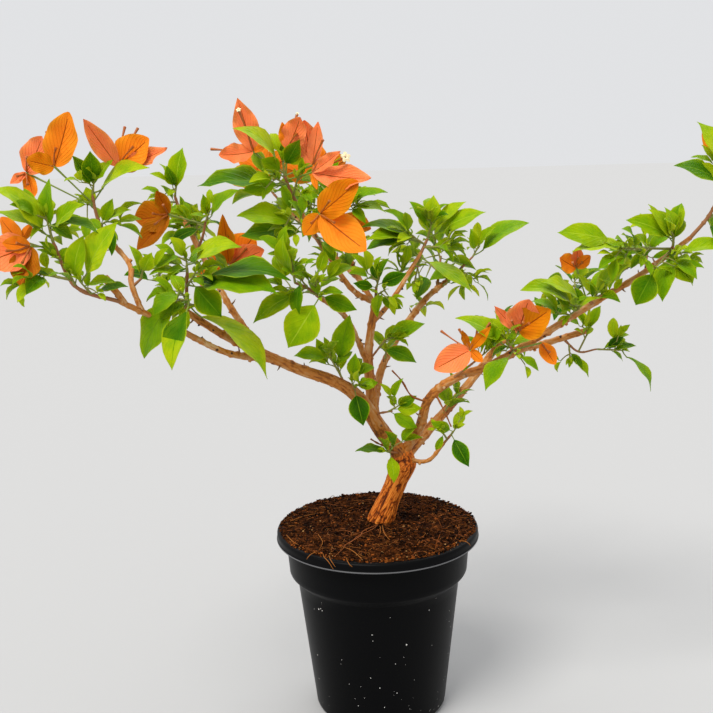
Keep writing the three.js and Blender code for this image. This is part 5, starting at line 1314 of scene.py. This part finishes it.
leaf_soup, twig_soup = Soup(*LEAF_COLOURS), Soup("twig_green", "stalk")
draw = seeded(613)
for name, count in SHOOTS.items():
    for k in range(count):
        add_shoot(leaf_soup, twig_soup, name, mix(0.2, 0.95, (k + mix(0.2, 0.9, draw())) / count), draw)
leaf_soup.make("leaves_shoots", "foliage")
twig_soup.make("twigs_shoots", "foliage")


# Soil: crumbs, fibres and a rough surface
def soil_height(x, y):
    """The soil's level: heaped to the top of the rim, and a little higher round the trunk's foot."""
    return GROUND - 1.4 * (np.hypot(x, y) / 80) ** 2


def soil_reach(turn):
    """How far out the soil lies: over the rim at the back and the sides, less at the front."""
    turn = np.asarray(turn, float)
    front = np.clip(-np.sin(turn), 0, 1) ** 0.7
    ragged = noise(np.stack([np.cos(turn) * 11, np.sin(turn) * 11, turn * 0], axis=-1).reshape(-1, 3), 33)
    return mix(POT["rim"] - 1.3, POT["rim"] - 4.2, front) + 1.1 * ragged.reshape(turn.shape)


def edge_drop(reach, r):
    """How far the soil falls away towards its edge."""
    return 1.9 * np.clip(1 - (reach - r) / 2.2, 0, 1) ** 2


def lay_soil():
    rings, sides = 160, 380
    turns = ring_turns(sides)
    grid_s, grid_t = np.meshgrid(np.sqrt(np.linspace(0.0004, 1, rings)), turns, indexing="ij")
    reach = soil_reach(turns)[None, :]
    r = grid_s * reach
    x, y = (r * np.cos(grid_t)).ravel(), (r * np.sin(grid_t)).ravel()
    flat = np.stack([x, y, np.zeros(len(x))], axis=1)
    grains = np.abs(noise(flat / 1.1, 13))
    rough = fractal(flat / 8, 2, 5) * 0.7 + fractal(flat / 2.1, 3, 9) * 0.75 + grains * 0.6
    z = soil_height(x, y) + rough - 0.7 - edge_drop(reach, r).ravel()
    tone = np.clip(0.36 + rough * 0.3 + noise(flat / 0.9, 21) * 0.3, 0, 1)
    places = np.stack([x, y, z], axis=1)
    soup = Soup("soil")
    soup.add(places, grid_faces(rings, sides, True), "soil", None, tone)
    edge = places[-sides:]
    under = edge * vec(0.985, 0.985, 0) + vec(0, 0, POT["height"] - 0.6)
    low = edge * vec(0.87, 0.87, 0) + vec(0, 0, SOIL["edge"] - 12)
    soup.add(np.vstack([edge, under, low]), grid_faces(3, sides, True), "soil", None, 0.1)
    soup.make("soil_surface", "soil", ["soil"])


CRUMBS, EDGE_CRUMBS_AFTER, FIBRES = 4600, 4000, 900
CRUMB = np.array([
    [-1, -1, -1], [1, -1, -1], [1, 1, -1], [-1, 1, -1], [-0.8, -0.8, 1], [0.8, -0.8, 1], [0.8, 0.8, 1],
    [-0.8, 0.8, 1],
]) * 0.7
CRUMB_FACES = [[3, 2, 1, 0], [4, 5, 6, 7], [0, 1, 5, 4], [1, 2, 6, 5], [2, 3, 7, 6], [3, 0, 4, 7]]


def add_crumb(soup, centre, size, look, draw):
    """A crumb: a rough lump of eight corners."""
    shape = np.array([[draw() - 0.5 for _ in range(3)] for _ in range(8)]) * 0.35
    turn = draw() * ANY_TURN
    spin = np.array([[math.cos(turn), -math.sin(turn), 0], [math.sin(turn), math.cos(turn), 0], [0, 0, 1]])
    flatness = vec(1, mix(0.5, 1, draw()), mix(0.4, 0.8, draw()))
    soup.add((CRUMB + shape) @ spin * size * flatness + centre, CRUMB_FACES, look)


def scatter_soil():
    """Crumbs all over the soil, and more of them along its front edge."""
    soup = Soup("crumb_dark", "crumb_brown", "crumb_red", "crumb_pale")
    draw = seeded(401)
    for k in range(CRUMBS):
        at_rim = k > EDGE_CRUMBS_AFTER
        turn = mix(-2.7, -0.1, draw()) if at_rim else draw() * 2 * math.pi
        reach = float(soil_reach(turn))
        r = reach - mix(-0.6, 4.5, draw() ** 1.5) if at_rim else (reach - 0.8) * math.sqrt(draw())
        x, y = r * math.cos(turn), r * math.sin(turn)
        z = soil_height(x, y) + mix(-0.4, 0.6, draw()) - edge_drop(reach, r)
        size = mix(0.35, 1.7, draw() ** 3)
        if at_rim:
            look = pick(draw(), crumb_red=0.5, crumb_brown=0.8, crumb_pale=1)
        else:
            look = pick(draw(), crumb_dark=0.5, crumb_brown=0.89, crumb_red=0.95, crumb_pale=1)
        if look == "crumb_pale":
            size *= 0.5
        add_crumb(soup, vec(x, y, z), size * (0.75 if at_rim else 1), look, draw)
    soup.make("soil_crumbs", "soil")


# Fine roots: places on the soil with their lift, thickness and look
ROOTS = [
    ([(-1, -9, 0.6), (-12, -22, 0.9), (-15, -34, 1.2), (-26, -49, 0.8), (-29, -59, 1.1), (-35, -71, 0.7)],
     0.28, "fibre_pink"),
    ([(0, -9, 0.6), (-5, -20, 1.1), (-17, -33, 0.8), (-22, -45, 1.2), (-33, -55, 0.7)], 0.22, "fibre_pink"),
    ([(4, -12, 0.9), (5, -28, 0.9), (9, -43, 0.9)], 0.35, "fibre_tan"),
    ([(2, -12, 0.9), (2, -25, 0.9), (0, -36, 0.9)], 0.25, "fibre_tan"),
    ([(-74, 8, 0.9), (-62, 19, 0.9), (-47, 26, 0.9)], 0.28, "fibre_tan"),
    ([(-75, -24, 0.9), (-70, -36, 0.9), (-64, -46, 0.9)], 0.28, "fibre_tan"),
    ([(46, 14, 0.9), (51, 1, 0.9), (53, -18, 0.9)], 0.25, "fibre_red"),
    ([(50, -33, 0.9), (45, -54, 0.9), (44, -66, 0.9)], 0.3, "fibre_red"),
    ([(-49, -26, 0.9), (-45, -42, 0.9), (-47, -58, 0.9)], 0.25, "fibre_tan"),
    ([(-14, -77, 0.9), (-21, -62, 0.9), (-29, -53, 0.9)], 0.3, "fibre_tan"),
]
# Fibres that hang over the rim: where they lie round it, how far they lean along it, and how far they fall
HANGING = [(-2.16, 0.16, 5.5), (-2.08, 0.1, 3.2), (-2.24, -0.05, 2.4), (-0.62, 0.06, 2.6), (-1.9, 0.08, 1.6)]
FIBRE_LOOKS = ("fibre_red", "fibre_dark", "fibre_tan", "fibre_dark", "fibre_pink")


def scatter_fibres():
    """Short fibres all over the soil, the fine roots on it, and the fibres that hang over the rim."""
    soup = Soup("fibre_red", "fibre_tan", "fibre_dark", "fibre_pink")
    draw = seeded(977)
    for _ in range(FIBRES):
        turn = draw() * 2 * math.pi
        limit = float(soil_reach(turn)) - 2.5
        r = limit * math.sqrt(draw())
        heading, length = draw() * 2 * math.pi, mix(2.5, 12, draw() ** 2)
        bend = mix(-0.35, 0.35, draw()) * length
        start = vec(r * math.cos(turn), r * math.sin(turn), 0)
        way = vec(math.cos(heading), math.sin(heading), 0)
        side = vec(-way[1], way[0], 0)
        points = [start, start + way * length / 2 + side * bend, start + way * length]
        lifts = [mix(-0.6, 0.3, draw()), mix(0.3, 1.3, draw()), mix(-0.4, 0.9, draw())]
        for point, lift in zip(points, lifts):
            distance = np.hypot(point[0], point[1])
            if distance > limit:
                point[:2] *= limit / distance
            point[2] = soil_height(point[0], point[1]) + lift
        look = FIBRE_LOOKS[int(draw() * 5)]
        add_tube(soup, Curve(*points), run_through(0.08, mix(0.1, 0.2, draw()), 0.07), 5, 7, look)
    for points, radius, look in ROOTS:
        places = [vec(x, y, soil_height(x, y) + lift) for x, y, lift in points]
        add_tube(soup, Curve(*places), run_through(radius, radius, radius * 0.4), 7, 26, look)
    for turn, lean, fall in HANGING:
        run = ((79, 0, 2.2), (83.5, 0.3, 2.0), (85.9, 0.7, -0.3), (86.3, 1, -fall))
        places = [
            vec(r * math.cos(turn + a * lean), r * math.sin(turn + a * lean), POT["height"] + z)
            for r, a, z in run
        ]
        add_tube(soup, Curve(*places), run_through(0.16, 0.3, 0.14), 6, 18, "fibre_tan")
    soup.make("soil_fibres", "soil")


lay_soil()
scatter_soil()
scatter_fibres()


# Pot
COLLAR_FOOT = POT["height"] - POT["collar_height"]
BODY_TOP = COLLAR_FOOT - POT["step"]
RIM_FOOT = POT["height"] - POT["rim_height"]
POT_SIDES = 176
HOLE_SIDES = 36
CREASE = 38
SPECKS = 190


def arc(centre_r, centre_z, radius, start, stop, count):
    """Points of a round in the pot's profile, from one angle to another in degrees."""
    angles = np.radians(np.linspace(start, stop, count))
    return [(centre_r + radius * math.cos(a), centre_z + radius * math.sin(a)) for a in angles]


def straight(start, stop, count):
    return [(mix(start[0], stop[0], k / count), mix(start[1], stop[1], k / count)) for k in range(1, count)]


def pot_radius(z):
    """Radius of the pot's outer wall at a height below its rim."""
    if z > COLLAR_FOOT:
        return mix(POT["collar_foot"], POT["collar_top"], (z - COLLAR_FOOT) / (RIM_FOOT - COLLAR_FOOT))
    if z > BODY_TOP:
        return mix(POT["body_top"], POT["collar_foot"], (z - BODY_TOP) / POT["step"])
    return mix(POT["foot"], POT["body_top"], z / BODY_TOP)


def pot_profile():
    """The pot's section, from the middle of its underside up its wall, over the rim and down inside."""
    foot, foot_round, rim, lip_round, wall = (
        POT[key] for key in ("foot", "foot_round", "rim", "rim_round", "wall")
    )
    lip = POT["collar_top"] - wall
    body, collar, shoulder = pot_radius(BODY_TOP), pot_radius(COLLAR_FOOT), pot_radius(RIM_FOOT)
    bottom = [(0.0, 1.6), (20.0, 1.6), (foot - 14, 1.6), (foot - 12, 0.0)]
    outside = arc(foot - foot_round, foot_round, foot_round, -90, -4, 9)
    outside += straight(outside[-1], (body - 0.25, BODY_TOP - 1), 14)
    outside += [
        (body - 0.25, BODY_TOP - 1), (body + 0.6, BODY_TOP + 0.8),
        (collar - 0.8, COLLAR_FOOT - 0.9), (collar - 0.1, COLLAR_FOOT + 0.5),
    ]
    outside += straight(outside[-1], (shoulder, RIM_FOOT - 0.8), 8)
    outside += [(shoulder + 0.1, RIM_FOOT - 0.5), (shoulder + 0.9, RIM_FOOT), (rim - 2.2, RIM_FOOT)]
    bead = arc(rim - 0.9, RIM_FOOT + 0.8, 0.8, -90, 60, 7)
    face = [(rim - 0.75, RIM_FOOT + 2.2), (rim - 0.6, RIM_FOOT + 4.2)]
    top = arc(rim - 0.6 - lip_round, POT["height"] - lip_round, lip_round, 5, 90, 8)
    top += arc(lip + lip_round, POT["height"] - lip_round, lip_round, 90, 180, 8)
    inside = [
        (lip, RIM_FOOT - 1), (collar - wall, COLLAR_FOOT), (body - wall, BODY_TOP),
        (foot - wall, POT["floor"]), (0.0, POT["floor"]),
    ]
    return bottom + outside + bead + face + top + inside


def make_pot():
    """The pot, turned from its profile and drilled."""
    profile = pot_profile()
    rows = profile[1:-1]
    places = [(r * math.cos(t), r * math.sin(t), z) for r, z in rows for t in ring_turns(POT_SIDES)]
    last = len(places)
    places += [(0, 0, profile[0][1]), (0, 0, profile[-1][1])]
    quads = grid_faces(len(rows), POT_SIDES, True)
    # The rows of the bead under the rim take the lighter grey: a painted highlight, not wear
    highlight_rows = [r > POT["rim"] - 1.2 and z < RIM_FOOT + 1.2 for r, z in rows]
    looks = ["pot_edge_highlight" if highlight_rows[first // POT_SIDES] else "pot_plastic" for first in quads[:, 0]]
    soup = Soup("pot_plastic", "pot_edge_highlight")
    soup.add(places, quads, looks)
    fans = [fan_faces(POT_SIDES, 0, last)[:, ::-1], fan_faces(POT_SIDES, last - POT_SIDES, last + 1)]
    soup.add([], np.vstack(fans) - soup.count, "pot_plastic")
    drill_pot(soup.make("pot_body", "pot", ["pot"]))


def drill_pot(pot):
    """Cuts the drain holes through the floor."""
    radius, circle = POT["hole_radius"] * MM, POT["hole_circle"] * MM
    cutter_mesh = bmesh.new()
    for i in range(POT["holes"]):
        turn = 2 * math.pi * i / POT["holes"]
        place = Matrix.Translation((circle * math.cos(turn), circle * math.sin(turn), 2.5 * MM))
        bmesh.ops.create_cone(
            cutter_mesh, cap_ends=True, segments=HOLE_SIDES, radius1=radius, radius2=radius, depth=12 * MM,
            matrix=place,
        )
    mesh = bpy.data.meshes.new("drill")
    cutter_mesh.to_mesh(mesh)
    cutter_mesh.free()
    cutter = new_object("drill", mesh)
    cut = pot.modifiers.new("holes", "BOOLEAN")
    cut.object = cutter
    cut.operation = "DIFFERENCE"
    cut.solver = "EXACT"
    graph = bpy.context.evaluated_depsgraph_get()
    drilled = bpy.data.meshes.new_from_object(pot.evaluated_get(graph))
    pot.modifiers.clear()
    pot.data = drilled
    bpy.data.objects.remove(cutter)
    pot.data.set_sharp_from_angle(angle=math.radians(CREASE))


def scatter_specks():
    """Dried drops and dust on the plastic, most of them low down."""
    soup = Soup("pot_speck")
    draw = seeded(613)
    up = vec(0, 0, 1)
    for _ in range(SPECKS):
        z = mix(7, 118, draw() ** 2.1)
        turn = draw() * 2 * math.pi
        size = mix(0.16, 0.72, draw() ** 3)
        out, side = vec(math.cos(turn), math.sin(turn), 0), vec(-math.sin(turn), math.cos(turn), 0)
        centre = out * pot_radius(z) + up * z
        places = [centre + out * size * 0.25]
        for a in ring_turns(7):
            ray = math.cos(a) * side + math.sin(a) * up
            places.append(centre + ray * size * mix(0.7, 1.2, draw()) - out * 0.05)
        soup.add(places, fan_faces(7, 1, 0), "pot_speck")
    soup.make("pot_specks", "pot")


make_pot()
scatter_specks()


# Floor, light and camera
CAMERA = {"pitch": 11.04, "roll": -1.49, "lens": 50, "sensor": 36}
FLOOR_HALF = 60


def add_floor():
    half = FLOOR_HALF
    corners = [(-half, -half, 0), (half, -half, 0), (half, half, 0), (-half, half, 0)]
    mesh = bpy.data.meshes.new("floor")
    mesh.from_pydata(corners, [], [(0, 1, 2, 3)])
    mesh.materials.append(surface("floor", (0.44, 0.44, 0.44), 0.9, Specular_IOR_Level=0.0))
    new_object("floor", mesh)


def add_light(name, way, strength, spread, colour=(1, 1, 1)):
    """Even light that shines along way, softened by its spread in degrees."""
    data = bpy.data.lights.new(name, "SUN")
    data.energy, data.angle, data.color = strength, math.radians(spread), colour
    new_object(name, data).rotation_euler = Vector(way).to_track_quat("-Z", "Y").to_euler()


def add_camera():
    """The camera looks down a little and is rolled a little, as in the photograph."""
    pitch, roll = math.radians(CAMERA["pitch"]), math.radians(CAMERA["roll"])
    ahead = Vector((0, math.cos(pitch), -math.sin(pitch)))
    level = Vector((1, 0, 0))
    upright = level.cross(ahead)
    right = math.cos(roll) * level + math.sin(roll) * upright
    up = -math.sin(roll) * level + math.cos(roll) * upright
    data = bpy.data.cameras.new("camera")
    data.lens, data.sensor_width = CAMERA["lens"], CAMERA["sensor"]
    camera = new_object("camera", data)
    turn = Matrix((right, up, -ahead)).transposed()
    camera.matrix_world = Matrix.Translation(EYE * MM) @ turn.to_4x4()
    bpy.context.scene.camera = camera


add_floor()
add_camera()
add_light("key", (0.55, 0.75, -1.3), 2.6, 28, (1.0, 0.98, 0.94))
add_light("back", (-0.3, -0.8, -1.2), 1.0, 40)
world = bpy.data.worlds.new("world")
world.use_nodes = True
sky = world.node_tree.nodes["Background"].inputs
sky["Color"].default_value = (0.97, 0.98, 1.0, 1)
sky["Strength"].default_value = 0.78
bpy.context.scene.world = world
bpy.context.scene.view_settings.view_transform = "Standard"
